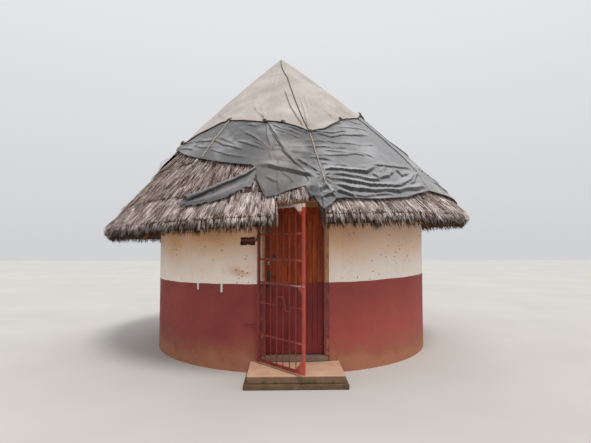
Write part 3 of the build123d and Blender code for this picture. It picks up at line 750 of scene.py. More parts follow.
def build_wall():
    """The uneven plastered ring, cut through at the doorway and chipped beside it."""
    wall = turn_wall_section()
    roughened(wall, 0.6, 0.014)
    roughened(wall, 0.14, 0.005)
    edit(wall)
    for level in (0, WALL_HEIGHT):
        pick(wall, lambda place: abs(place.z - level) < 0.02)
        bpy.ops.transform.resize(value=(1, 1, 0), center_override=(0, 0, level))
    leave_edit()
    half = DOORWAY_HALF + 0.001
    cut_away(wall, block((-half, -2.8, -0.5), (half, -1.9, DOORWAY_TOP + 0.001)))
    chip = block((-0.11, -0.034, -0.054), (0.11, 0.034, 0.054))
    edit(chip)
    bpy.ops.mesh.select_all(action="SELECT")
    bpy.ops.mesh.subdivide(number_cuts=7)
    leave_edit()
    roughened(chip, 0.035, 0.035)
    chip.rotation_euler.z = math.radians(-15.8)
    chip.location = CHIP_PLACE
    settle_place(chip)
    cut_away(wall, chip)
    soften(wall, 32)
    nodes = [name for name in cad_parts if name.endswith("_wall")]
    nodes += ["wall_over_door", "door_lintel"]
    hand_over(wall, "plastered_wall", PLASTER, nodes=nodes)


build_wall()


# Doorstep, its footing, the threshold and the floor
dress(["step_footing"], FOOTING_CONCRETE, 0.008)
dress(["door_threshold"], FLOOR_CONCRETE, 0.012)
dress(["floor_slab"], FLOOR_CONCRETE)
dress(["door_step"], STEP_CONCRETE, 0.012)

# Roof timbers
rafter_nodes = [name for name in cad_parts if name.startswith("rafters_")]
dress([*rafter_nodes, "crown_block", "wall_plate", "roof_laths"], POLE)
dress([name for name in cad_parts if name.startswith("thatch_")], THATCH_CORE)

# Door and frame
dress(["door_frame_left", "door_frame_right", "door_frame_head"], FRAME_TIMBER, 0.003)
dress(["door_stiles_and_rails"], STILES, 0.003)
dress(["door_hinges"], DARK_STEEL)
dress(["door_lock"], DARK_STEEL, 0.001)


def build_boards(count=9):
    """Tongued boards with a V along each joint, made once and arrayed."""
    low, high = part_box("door_boards")
    width = (high.x - low.x) / count
    board = block(low, (low.x + width, high.y, high.z))
    edit(board)
    pick(board, lambda a, b: abs(a.z - b.z) > 0.5, "EDGE")
    bpy.ops.mesh.bevel(offset=0.005, segments=1)
    leave_edit()
    copies = board.modifiers.new("boards", "ARRAY")
    copies.count = count
    copies.use_relative_offset = False
    copies.use_constant_offset = True
    copies.constant_offset_displace = (width, 0, 0)
    apply_modifiers(board)
    varnish = board_finish("varnished_boards", width, low.x)
    hand_over(board, "tongued_boards", varnish, "door", ["door_boards"])


def build_latch(name, finish, rounds):
    """Round parts of the latch above the lock, on the face of the boards."""
    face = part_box("door_boards")[0].y
    pieces = []
    for x, z, radius, depth in rounds:
        place = (x, face - depth / 2, z)
        bpy.ops.mesh.primitive_cylinder_add(
            vertices=24, radius=radius, depth=depth, location=place, rotation=(math.pi / 2, 0, 0)
        )
        disc = bpy.context.object
        settle_place(disc)
        pieces.append(bevelled(disc, 0.003))
    latch = join(pieces)
    soften(latch, 30)
    hand_over(latch, name, finish, "door")


# Rounds of the latch: place across and up, radius, depth
rose_rounds = ((-0.290, 1.573, 0.030, 0.008), (-0.290, 1.573, 0.016, 0.018))
knob_rounds = ((-0.363, 1.500, 0.012, 0.034), (-0.363, 1.474, 0.009, 0.020))
build_boards()
build_latch("latch_rose", DARK_STEEL, rose_rounds)
build_latch("latch_knob", BRIGHT_STEEL, knob_rounds)

# Gate
dress(["gate_frame"], GATE_PAINT, 0.002)
dress(["gate_gussets"], GUSSET_PAINT, 0.002)
dress(["gate_grille", "gate_bolt_guides", "gate_hinge_lugs"], GATE_PAINT)
dress(["gate_bolt"], BRIGHT_STEEL, 0.001)


# Straw
Straws = namedtuple("Straws", "density tilt spread age size")
COURSE = Straws(density=620, tilt=-0.02, spread=0.07, age=0.0, size=1.0)
COURSE_TIPS = Straws(density=640, tilt=-0.03, spread=0.09, age=0.1, size=1.0)
BRIM = Straws(density=1050, tilt=0.04, spread=0.10, age=0.0, size=0.74)
CUT_EDGE = Straws(density=1700, tilt=0.36, spread=0.20, age=0.0, size=0.47)
CUT_FACE = Straws(density=1400, tilt=0.46, spread=0.25, age=0.45, size=0.37)
CUT_FOOT = Straws(density=1500, tilt=0.30, spread=0.30, age=1.0, size=0.38)
TRIMMED_LIP = Straws(density=1900, tilt=0.30, spread=0.25, age=0.75, size=0.28)
CHEEK = Straws(density=5000, tilt=0.15, spread=0.20, age=0.05, size=0.42)
HANGING = Straws(density=9000, tilt=0.72, spread=0.15, age=0.8, size=1.0)

# Laps and setbacks of the courses, and the notch over the door, in degrees from the front
STRAW_LENGTH = 0.17
LEAST_BAND = 0.03
TOP_COURSE_RUN = 0.6
COURSE_LAP = 0.13
COVER_LAP = 0.16
EAVE_SETBACK = 0.03
NOTCH_LEFT = -3.2
NOTCH_RIGHT = 7.6
NOTCH_EAVE = 3.08
CHEEK_LAYERS = 5
CHEEK_END = 3.15


def build_tuft(number, blades=10):
    """A handful of flat straws lying along X, their cut ends at the far side."""
    straws = []
    for index in range(blades):
        length = random.uniform(0.12, 0.22)
        bpy.ops.mesh.primitive_plane_add(size=1, location=(length / 2, 0, 0))
        straw = bpy.context.object
        straw.scale = (length, random.uniform(0.004, 0.0085), 1)
        settle_place(straw)
        edit(straw)
        pick(straw, lambda place: place.x > length * 0.75)
        aside = random.uniform(-0.01, 0.01)
        bpy.ops.transform.translate(value=(0, aside, -random.uniform(0, 0.012)))
        bpy.ops.transform.resize(value=(1, 0.35, 1))
        leave_edit()
        straw.location.x = random.uniform(-0.03, 0.03)
        straw.location.y = random.uniform(-0.013, 0.013)
        straw.location.z = random.uniform(0, 0.011)
        straw.rotation_euler.x = random.uniform(-0.9, 0.9)
        straw.rotation_euler.y = random.uniform(-0.06, 0.05)
        straw.rotation_euler.z = random.uniform(-0.10, 0.10)
        settle_place(straw)
        tint = straw.data.attributes.new("blade", "FLOAT", "POINT")
        tint.data.foreach_set("value", [index / (blades - 1)] * len(straw.data.vertices))
        straws.append(straw)
    tuft = join(straws)
    tuft.name = f"tuft_{number}"
    return tuft


tufts = [build_tuft(number) for number in range(5)]
tuft_shelf = bpy.data.collections.new("tufts")
bpy.context.scene.collection.children.link(tuft_shelf)
for tuft in tufts:
    for shelf in list(tuft.users_collection):
        shelf.objects.unlink(tuft)
    tuft_shelf.objects.link(tuft)


def straw_nodes(straws, seed):
    """Geometry nodes that lay tufts over a surface, tips down the slope, and make them one mesh."""
    group = bpy.data.node_groups.new("straw_scatter", "GeometryNodeTree")
    for way in ("INPUT", "OUTPUT"):
        group.interface.new_socket("Geometry", in_out=way, socket_type="NodeSocketGeometry")

    def add(kind, inputs=(), **settings):
        return add_node(group, kind, inputs, **settings)

    def reckon(operation, a, b):
        return add("ShaderNodeMath", {0: a, 1: b}, operation=operation).outputs[0]

    def chance(low, high, number):
        limits = {2: low, 3: high, 8: seed * 17 + number}
        return add("FunctionNodeRandomValue", limits).outputs[1]

    def clumps(scale, low, high):
        pattern = {"Vector": here, "Scale": scale, "Detail": 1.0}
        pattern = add("ShaderNodeTexNoise", pattern).outputs[0]
        limits = {"Value": pattern, "From Min": 0.35, "From Max": 0.65}
        limits.update({"To Min": low, "To Max": high})
        return add("ShaderNodeMapRange", limits).outputs[0]

    source = group.nodes.new("NodeGroupInput").outputs[0]
    here = add("GeometryNodeInputPosition").outputs[0]
    thickly = clumps(7.0, straws.density * 0.6, straws.density * 1.4)
    surface = {"Mesh": source, "Density": thickly, "Seed": seed}
    points = add("GeometryNodeDistributePointsOnFaces", surface).outputs["Points"]

    place = add("ShaderNodeSeparateXYZ", {0: here})
    yaw = reckon("ARCTAN2", place.outputs[1], place.outputs[0])
    yaw = reckon("ADD", yaw, chance(-0.16, 0.16, 1))
    pitch = ROOF_PITCH + straws.tilt
    pitch = chance(pitch - straws.spread, pitch + straws.spread, 3)
    turn = add("ShaderNodeCombineXYZ", {0: chance(-0.5, 0.5, 2), 1: pitch, 2: yaw}).outputs[0]
    turn = add("FunctionNodeEulerToRotation", {0: turn}).outputs[0]
    own_size = chance(straws.size * 0.85, straws.size * 1.15, 5)
    size = reckon("MULTIPLY", own_size, clumps(9.0, 0.8, 1.2))

    shelf = {"Collection": tuft_shelf, "Separate Children": True, "Reset Children": True}
    which = {4: 0, 5: len(tufts) - 1, 8: seed * 17 + 4}
    laid = {
        "Points": points,
        "Instance": add("GeometryNodeCollectionInfo", shelf).outputs[0],
        "Pick Instance": True,
        "Instance Index": add("FunctionNodeRandomValue", which, data_type="INT").outputs[2],
        "Rotation": turn,
        "Scale": size,
    }
    marked = add("GeometryNodeInstanceOnPoints", laid).outputs[0]
    for name, value in (("tint", chance(0.0, 1.0, 6)), ("age", straws.age)):
        named = {"Geometry": marked, "Name": name}
        store = add("GeometryNodeStoreNamedAttribute", named, domain="INSTANCE", data_type="FLOAT")
        socket = next(s for s in store.inputs if s.name == "Value" and s.type == "VALUE")
        if isinstance(value, bpy.types.NodeSocket):
            group.links.new(value, socket)
        else:
            socket.default_value = value
        marked = store.outputs[0]
    whole = add("GeometryNodeRealizeInstances", {0: marked}).outputs[0]
    group.links.new(whole, group.nodes.new("NodeGroupOutput").inputs[0])
    return group


def slope_band(inner, outer, phi_from, phi_to):
    """A strip of cone between two (radius, height) pairs, over a span of degrees from the front."""
    span = math.radians(phi_to - phi_from)
    start = math.radians(phi_from) - math.pi / 2
    bpy.ops.mesh.primitive_plane_add(size=1)
    band = bpy.context.object
    edit(band)
    pick(band, lambda place: place.y > 0)
    bpy.ops.mesh.delete(type="VERT")
    leave_edit()
    ends = sorted(band.data.vertices, key=lambda vertex: vertex.co.x)
    for vertex, (radius, height) in zip(ends, (inner, outer)):
        vertex.co = (radius * math.cos(start), radius * math.sin(start), height)
    edit(band)
    bpy.ops.mesh.select_all(action="SELECT")
    steps = max(2, round(math.degrees(span) / 4))
    bpy.ops.mesh.spin(steps=steps, angle=span, center=(0, 0, 0), axis=(0, 0, -1))
    bpy.ops.mesh.remove_doubles(threshold=0.0001)
    leave_edit()
    return band


def lay_straw(inner, outer, phi_from, phi_to, straws, seed):
    """One band of straw, as one mesh."""
    band = slope_band(inner, outer, phi_from, phi_to)
    scatter = band.modifiers.new("straw", "NODES")
    scatter.node_group = straw_nodes(straws, seed)
    apply_modifiers(band)
    return band


# Spans of bare thatch: degrees from the front, radius where the cover ends, radius of the cut eave
straw_spans = [
    ("thatch_straw_front_left", -66, -45, 1.95, EAVE_RADIUS),
    ("thatch_straw_front_left", -45, -27, 2.18, EAVE_RADIUS),
    ("thatch_straw_front", -27, -9, 2.38, EAVE_RADIUS),
    ("thatch_straw_front", -9, -3.5, 2.75, EAVE_RADIUS),
    ("thatch_straw_front", NOTCH_LEFT, NOTCH_RIGHT, 2.75, NOTCH_EAVE),
    ("thatch_straw_front", 7.45, 30, 2.92, EAVE_RADIUS),
    ("thatch_straw_front_right", 30, 90, 2.92, EAVE_RADIUS),
    ("thatch_straw_back_right", 90, 115, 2.92, EAVE_RADIUS),
    ("thatch_straw_back_right", 115, 150, 2.32, EAVE_RADIUS),
    ("thatch_straw_back", 150, 210, 2.32, EAVE_RADIUS),
    ("thatch_straw_back_left", 210, 270, 2.32, EAVE_RADIUS),
    ("thatch_straw_front_left", 270, 294, 1.98, EAVE_RADIUS),
]


def sunk_band(begin, end, sunk_in, sunk_out):
    """Where straws are rooted: a band's upper and lower edge, each a depth into the thatch."""
    cosine = math.cos(ROOF_PITCH)
    inner = (begin, roof_height(begin) - sunk_in / cosine)
    outer = (end, roof_height(end) - sunk_out / cosine)
    return inner, outer


def course_bands(cover_edge, eave):
    """Bands down the slope, two to each course that shows, with their straws and numbers."""
    starts = [COURSE_RADII[0] - TOP_COURSE_RUN, *COURSE_RADII]
    ends = [*COURSE_RADII, eave - EAVE_SETBACK]
    bands = []
    for course, (start, end) in enumerate(zip(starts, ends)):
        begin = max(start - COURSE_LAP, cover_edge - COVER_LAP)
        root = end - STRAW_LENGTH * math.cos(ROOF_PITCH)
        if root - begin >= LEAST_BAND:
            bands.append((*sunk_band(begin, root, COURSE_STEP * 0.8, 0.022), COURSE, course))
            tips = sunk_band(root - 0.05, root + 0.01, 0.02, 0.006)
            bands.append((*tips, COURSE_TIPS, 3 + course))
    return bands


def eave_bands(eave):
    """Bands over the brim and down the cut face of the eave, or along the notch's trimmed lip."""
    lip = roof_height(eave)
    if eave == NOTCH_EAVE:
        return [((eave - 0.075, lip + 0.07), (eave - 0.035, lip + 0.03), TRIMMED_LIP, 7)]
    return [
        ((eave - 0.200, lip + 0.202), (eave - 0.085, lip + 0.090), BRIM, 6),
        ((eave - 0.085, lip + 0.088), (eave - 0.010, lip + 0.015), CUT_EDGE, 7),
        ((eave, lip - 0.004), (eave - 0.065, lip - 0.075), CUT_FACE, 8),
        ((eave - 0.075, lip - 0.075), (eave - 0.135, lip - 0.130), CUT_FOOT, 9),
    ]


def notch_straw():
    """Straws of the notch's cut cheeks, darker inwards, and the tuft that hangs beside it."""
    straw = []
    cheeks = ((NOTCH_LEFT, 3.04), (NOTCH_RIGHT + 0.15, 2.93))
    for cheek, (phi, start) in enumerate(cheeks):
        for layer in range(CHEEK_LAYERS):
            depth = 0.02 + 0.035 * layer
            inner = (start - depth, roof_height(start) - depth)
            outer = (CHEEK_END - depth, roof_height(CHEEK_END) - depth)
            straws = CHEEK._replace(age=CHEEK.age + 0.12 * layer)
            seed = 200 + CHEEK_LAYERS * cheek + layer
            straw.append(lay_straw(inner, outer, phi - 0.15, phi + 0.15, straws, seed))
    low = roof_height(3.1)
    straw.append(lay_straw((3.03, low - 0.08), (3.09, low - 0.13), 20.2, 21.5, HANGING, 215))
    return straw


def build_straw():
    """Every span's courses and cut eave, joined piece by piece."""
    grouped = {}
    for number, (name, phi_from, phi_to, cover_edge, eave) in enumerate(straw_spans):
        for inner, outer, straws, own in course_bands(cover_edge, eave) + eave_bands(eave):
            band = lay_straw(inner, outer, phi_from, phi_to, straws, number * 10 + own)
            grouped.setdefault(name, []).append(band)
    grouped["thatch_straw_front"] += notch_straw()
    for name, bands in grouped.items():
        straw = join(bands)
        set_on_roof(straw)
        hand_over(straw, name, STRAW)


build_straw()
for tuft in tufts:
    bpy.data.objects.remove(tuft)
bpy.data.collections.remove(tuft_shelf)


# Sheets over the thatch. Places on the roof are degrees from the front and radius
CLOTH_RADIUS = 2.4
CLOTH_THICKNESS = 0.002
TUCK = 0.11
TUCKED_LIFT = 0.010

canvas_edge = [
    (-180, 1.80), (-150, 1.92), (-125, 1.78), (-100, 1.93), (-80, 1.86), (-59.5, 1.979),
    (-53.3, 1.935), (-48.8, 1.87), (-42.2, 1.82), (-35.4, 1.74), (-29.8, 1.745), (-19.8, 1.80),
    (-9.3, 1.879), (-1.3, 1.927), (4.8, 2.034), (9.1, 2.123), (15.5, 2.06), (21.4, 1.955),
    (27.8, 1.84), (39, 1.75), (44.8, 1.70), (56, 1.56), (66, 1.47), (78, 1.50), (105, 1.72),
    (130, 1.92), (155, 1.78), (180, 1.80),
]
canvas_knots = [
    (-150, 1.92), (-100, 1.93), (-59.5, 1.979), (-29.8, 1.745), (-9.3, 1.879), (-1.3, 1.927),
    (9.1, 2.123), (27.8, 1.84), (66, 1.47), (130, 1.92),
]
left_edge = [
    (-66, 2.06), (-58.7, 2.079), (-44.8, 2.242), (-35.1, 2.358), (-25.1, 2.470), (-17.8, 2.536),
    (-10.9, 2.592), (-9.1, 2.646), (-8.5, 2.787), (-6.6, 2.951), (-5.6, 3.021), (-2.8, 3.000),
    (-0.6, 2.958), (3.6, 2.908), (10, 2.88),
]
right_edge = [
    (-12, 2.70), (0, 2.90), (5.3, 3.06), (6.9, 3.21), (8.9, 3.16), (10.4, 3.09), (12.7, 3.073),
    (21.3, 3.089), (30.5, 3.057), (36, 3.0), (43, 2.95), (50, 2.98), (64.3, 3.03), (80, 3.07),
    (95, 3.02), (116, 3.06),
]
overlap_line = [
    (-9.5, 1.70), (-8.7, 1.844), (-5.0, 2.13), (-0.6, 2.41), (2.1, 2.61), (5.0, 2.74),
    (6.2, 2.85), (4.2, 2.92), (5.6, 3.05), (6.4, 3.2),
]
back_edge = [
    (58, 2.10), (64, 2.24), (70, 2.26), (78, 2.30), (90, 2.42), (120, 2.46), (150, 2.36),
    (185, 2.47), (220, 2.38), (255, 2.46), (280, 2.40), (290, 2.33), (300, 2.24),
]


def either_way(phi):
    """Degrees from the front, as a turn of up to 180 either way."""
    return np.where(phi > 180, phi - 360, phi)


def read_line(line, at, column=0):
    """Value of a line of points at each angle, or at each radius with column 1."""
    keys = [point[column] for point in line]
    values = [point[1 - column] for point in line]
    order = np.argsort(keys)
    return np.interp(at, np.array(keys)[order], np.array(values)[order])


def plan(phi, r):
    """Places on the roof as seen from above."""
    turn = np.radians(phi)
    return np.stack([r * np.sin(turn), -r * np.cos(turn)], -1)


def pleat(phi, r, line, height, rise, drop):
    """Lift of a fold along a line: gentle on its left-hand side, steep on its right."""
    here = plan(phi, r)
    knots = [plan(*point) for point in line]
    nearest = np.full(phi.shape, 1e9)
    share = np.zeros(phi.shape)
    beside = np.zeros(phi.shape)
    for index, (a, b) in enumerate(zip(knots, knots[1:])):
        along = b - a
        t = np.clip(((here - a) @ along) / max(along @ along, 1e-9), 0, 1)
        off = here - (a + t[..., None] * along)
        away = np.linalg.norm(off, axis=-1)
        closer = away < nearest
        nearest = np.where(closer, away, nearest)
        share = np.where(closer, (index + t) / (len(knots) - 1), share)
        beside = np.where(closer, along[0] * off[..., 1] - along[1] * off[..., 0], beside)
    taper = np.clip(np.sin(np.pi * np.clip(share, 0.02, 0.98)) * 2.2, 0, 1)
    return height * taper * np.clip(1 - nearest / np.where(beside > 0, rise, drop), 0, 1)


def pleats(phi, r, folds):
    """All of a sheet's folds together: the highest wins, so that they don't pile up."""
    lift = np.zeros(phi.shape)
    swayed = phi + 0.5 * wrinkle(phi, r, 4, 4, 6.6)
    strayed = r + 0.022 * wrinkle(phi, r, 4, 3, 7.7)
    for line, height, rise, drop in folds:
        fold = pleat(swayed, strayed, line, abs(height), rise, drop)
        lift = np.maximum(lift, fold) if height > 0 else lift - fold
    return lift


def fan(phi, r, centre, count, reach, height, phase):
    """Lift of the folds that run in to a point where a sheet is gathered."""
    away = plan(phi, r) - plan(*centre)
    distance = np.linalg.norm(away, axis=-1)
    angle = np.arctan2(away[..., 1], away[..., 0])
    fold = height * np.cos(count * angle + phase)
    return fold * np.exp(-distance / reach) * (1 - np.exp(-distance / 0.05))


def bell(values, middle, width):
    """1 at the middle, falling away on both sides."""
    return np.exp(-(((values - middle) / width) ** 2))


def wrinkle(phi, r, across, down, seed):
    """Uneven cloth: solid noise, drawn out one way, at each point."""
    turn = np.radians(phi)
    flat = np.stack([turn * CLOTH_RADIUS * across, r * down], -1).reshape(-1, 2)
    found = [noise.noise((x, y, seed)) for x, y in flat]
    return np.array(found).reshape(phi.shape)


def ridges(phi, r, across, down, seed):
    """Sharp-topped wrinkles from the same noise."""
    return 1 - 2 * np.abs(wrinkle(phi, r, across, down, seed))


def smoothed(values, cells):
    """Each value averaged with its neighbours, a number of cells either way."""
    for axis in range(values.ndim):
        values = np.moveaxis(values, axis, 0)
        padded = np.concatenate([values[:1].repeat(cells, 0), values, values[-1:].repeat(cells, 0)])
        total = sum(padded[k : k + len(values)] for k in range(2 * cells + 1))
        values = np.moveaxis(total / (2 * cells + 1), 0, axis)
    return values


def under_canvas(phi, r, lift):
    """A tarpaulin's lift, pressed flat where the canvas lies over it."""
    clear = np.clip((r - read_line(canvas_edge, either_way(phi)) + TUCK) / TUCK, 0, 1)
    return TUCKED_LIFT + (lift - TUCKED_LIFT) * clear


def grid_between(around, top, bottom, rows, left=None, inset=0.12):
    """A grid between an upper and a lower edge, its first side on a line if one is given."""
    spread, down = np.meshgrid(around, np.linspace(0, 1, rows), indexing="ij")
    phi = spread
    for _ in range(4):
        upper = read_line(top, either_way(phi)) - inset
        lower = read_line(bottom, phi)
        r = upper + (lower - upper) * down
        if left is not None:
            start = read_line(left, r, 1)
            near = np.clip((spread - spread[0]) / 22, 0, 1)
            phi = spread + (start - spread[0]) * (1 - near) ** 2
    return phi, r, lower - r


def fold_light_share(phi, r, lift):
    """How lit each point of a sheet's folds is, for its painted light and shade: half on flat
    cloth, up to 1 facing up and right, down to 0 facing down and left.
    """
    down = np.gradient(lift, axis=1) / np.gradient(r, axis=1)
    right = np.gradient(lift, axis=0) / (r * np.radians(np.gradient(phi, axis=0)))
    return np.clip(0.5 + 0.45 * down - 0.30 * right, 0, 1)


def sheet_mesh(name, phi, r, lift):
    """A sheet as a grid of faces, at each point's lift off the thatch."""
    turn = np.radians(phi)
    height = ARC_H + np.sqrt(ARC**2 - (r - ARC_R) ** 2)
    reach = r + lift * (r - ARC_R) / ARC
    up = (height - ARC_H) / ARC
    points = np.stack([reach * np.sin(turn), -reach * np.cos(turn), height + lift * up], -1)
    rows, columns = phi.shape
    index = np.arange(rows * columns).reshape(rows, columns)
    corners = [index[:-1, :-1], index[:-1, 1:], index[1:, 1:], index[1:, :-1]]
    faces = np.stack(corners, -1).reshape(-1, 4)
    mesh = bpy.data.meshes.new(name)
    mesh.from_pydata(points.reshape(-1, 3).tolist(), [], faces.tolist())
    mesh.update()
    sheet = bpy.data.objects.new(name, mesh)
    bpy.context.scene.collection.objects.link(sheet)
    return sheet


def lay_sheet(name, grid, lift, shade, finish, node):
    """A sheet with the marks that its finish reads, faced outwards, thickened and set in place."""
    phi, r, hem = grid
    sheet = sheet_mesh(name, phi, r, lift)
    # The fold mark holds painted light and shade, which the finishes read
    marks = {"hem": hem, "along": np.radians(phi) * CLOTH_RADIUS, "down": r, "fold": shade}
    for mark, values in marks.items():
        store = sheet.data.attributes.new(mark, "FLOAT", "POINT")
        store.data.foreach_set("value", np.asarray(values, np.float32).ravel())
    edit(sheet)
    bpy.ops.mesh.select_all(action="SELECT")
    bpy.ops.mesh.remove_doubles(threshold=0.0004)
    bpy.ops.mesh.normals_make_consistent(inside=False)
    leave_edit()
    if sum(face.normal.z for face in sheet.data.polygons) < 0:
        edit(sheet)
        bpy.ops.mesh.select_all(action="SELECT")
        bpy.ops.mesh.flip_normals()
        leave_edit()
    modifier = sheet.modifiers.new("thickness", "SOLIDIFY")
    modifier.thickness = CLOTH_THICKNESS
    modifier.offset = -1
    apply_modifiers(sheet)
    set_on_roof(sheet)
    soften(sheet, 60)
    return hand_over(sheet, name, finish, nodes=[node])


# A fold's widths on its gentle and its steep side
VALLEY = (0.020, 0.020)
PLEAT = (0.065, 0.011)
BROAD = (0.110, 0.030)
CREASE = (0.050, 0.010)
FINE = (0.055, 0.009)
BUNCHED = (0.075, 0.014)
ROLLING = (0.070, 0.016)

# Folds of the left tarpaulin: the gathered star, the overhanging seam and the flap below it
left_folds = [
    ([(-9.8, 2.59), (-7.0, 2.61), (-4.6, 2.64)], 0.019, *CREASE),
    (
        [(-9.9, 2.60), (-4.6, 2.655), (-2.6, 2.69), (1.8, 2.745), (4.7, 2.80), (8.2, 2.86)],
        0.050,
        0.130,
        0.011,
    ),
    ([(-8.9, 1.88), (-7.3, 2.15), (-5.2, 2.37)], 0.019, *CREASE),
    ([(-8.3, 1.88), (-3.8, 2.18), (-1.0, 2.40), (2.2, 2.60)], 0.036, *CREASE),
    ([(-3.7, 2.26), (-5.0, 2.38)], 0.022, *CREASE),
    ([(-5.0, 2.38), (-1.5, 2.37)], 0.020, *CREASE),
    ([(-11.7, 2.22), (-8.1, 2.31), (-5.1, 2.38)], 0.014, *CREASE),
    ([(-5.0, 2.38), (-3.0, 2.48), (-2.9, 2.57), (-3.1, 2.66)], -0.022, *VALLEY),
    ([(-5.6, 2.40), (-5.0, 2.52), (-3.4, 2.65)], 0.016, *CREASE),
    ([(-17.7, 2.04), (-11.5, 2.17), (-5.4, 2.38)], 0.017, *CREASE),
    ([(-20.4, 2.18), (-12.1, 2.29), (-6.2, 2.39)], 0.016, *CREASE),
    ([(-33.1, 2.06), (-23.7, 2.24), (-14.7, 2.36)], 0.017, *CREASE),
    ([(-29.0, 2.06), (-20.9, 2.21), (-18.3, 2.27)], 0.013, *CREASE),
    ([(-46.5, 2.05), (-31.9, 2.11), (-26.2, 2.08)], 0.017, *CREASE),
    ([(-44, 2.12), (-35, 2.20), (-27, 2.26)], 0.014, *CREASE),
    ([(-18.8, 1.89), (-13.1, 1.94), (-8.8, 1.90)], 0.014, *CREASE),
    ([(-31.2, 2.26), (-21.7, 2.39), (-12.1, 2.50)], 0.013, *CREASE),
    ([(-62, 2.02), (-50, 2.12), (-38, 2.24)], 0.018, *CREASE),
    ([(-60, 1.98), (-48, 2.03), (-40, 2.02)], 0.013, *CREASE),
    ([(-2.9, 2.70), (-2.8, 2.84), (-2.5, 2.99)], 0.018, *CREASE),
    ([(-6.7, 2.78), (-3.6, 2.85), (-1.2, 2.83)], 0.018, *CREASE),
    ([(-9.0, 2.80), (-6.7, 2.91), (-5.7, 2.99)], 0.010, *CREASE),
    ([(-2.4, 2.72), (0.2, 2.80), (1.2, 2.88)], 0.013, *CREASE),
]

LEFT_TIE = (-29.8, 1.727)


def left_lift(phi, r):
    """The left sheet's folds, with its turned corner, under the canvas at the top."""
    lift = 0.020 + 0.010 * wrinkle(phi, r, 2, 1.4, 5.5) + pleats(phi, r, left_folds)
    lift = lift + fan(phi, r, LEFT_TIE, 7, 0.2, 0.010, 2.0)
    turned = bell(phi, -62, 3.0) * bell(r, 2.02, 0.08)
    lift = lift + 0.045 * turned + 0.005 * ridges(phi, r, 5, 4, 2.2)
    lift = 0.014 + (lift - 0.014) * np.clip((10 - phi) / 4, 0, 1)
    return under_canvas(phi, r, lift)


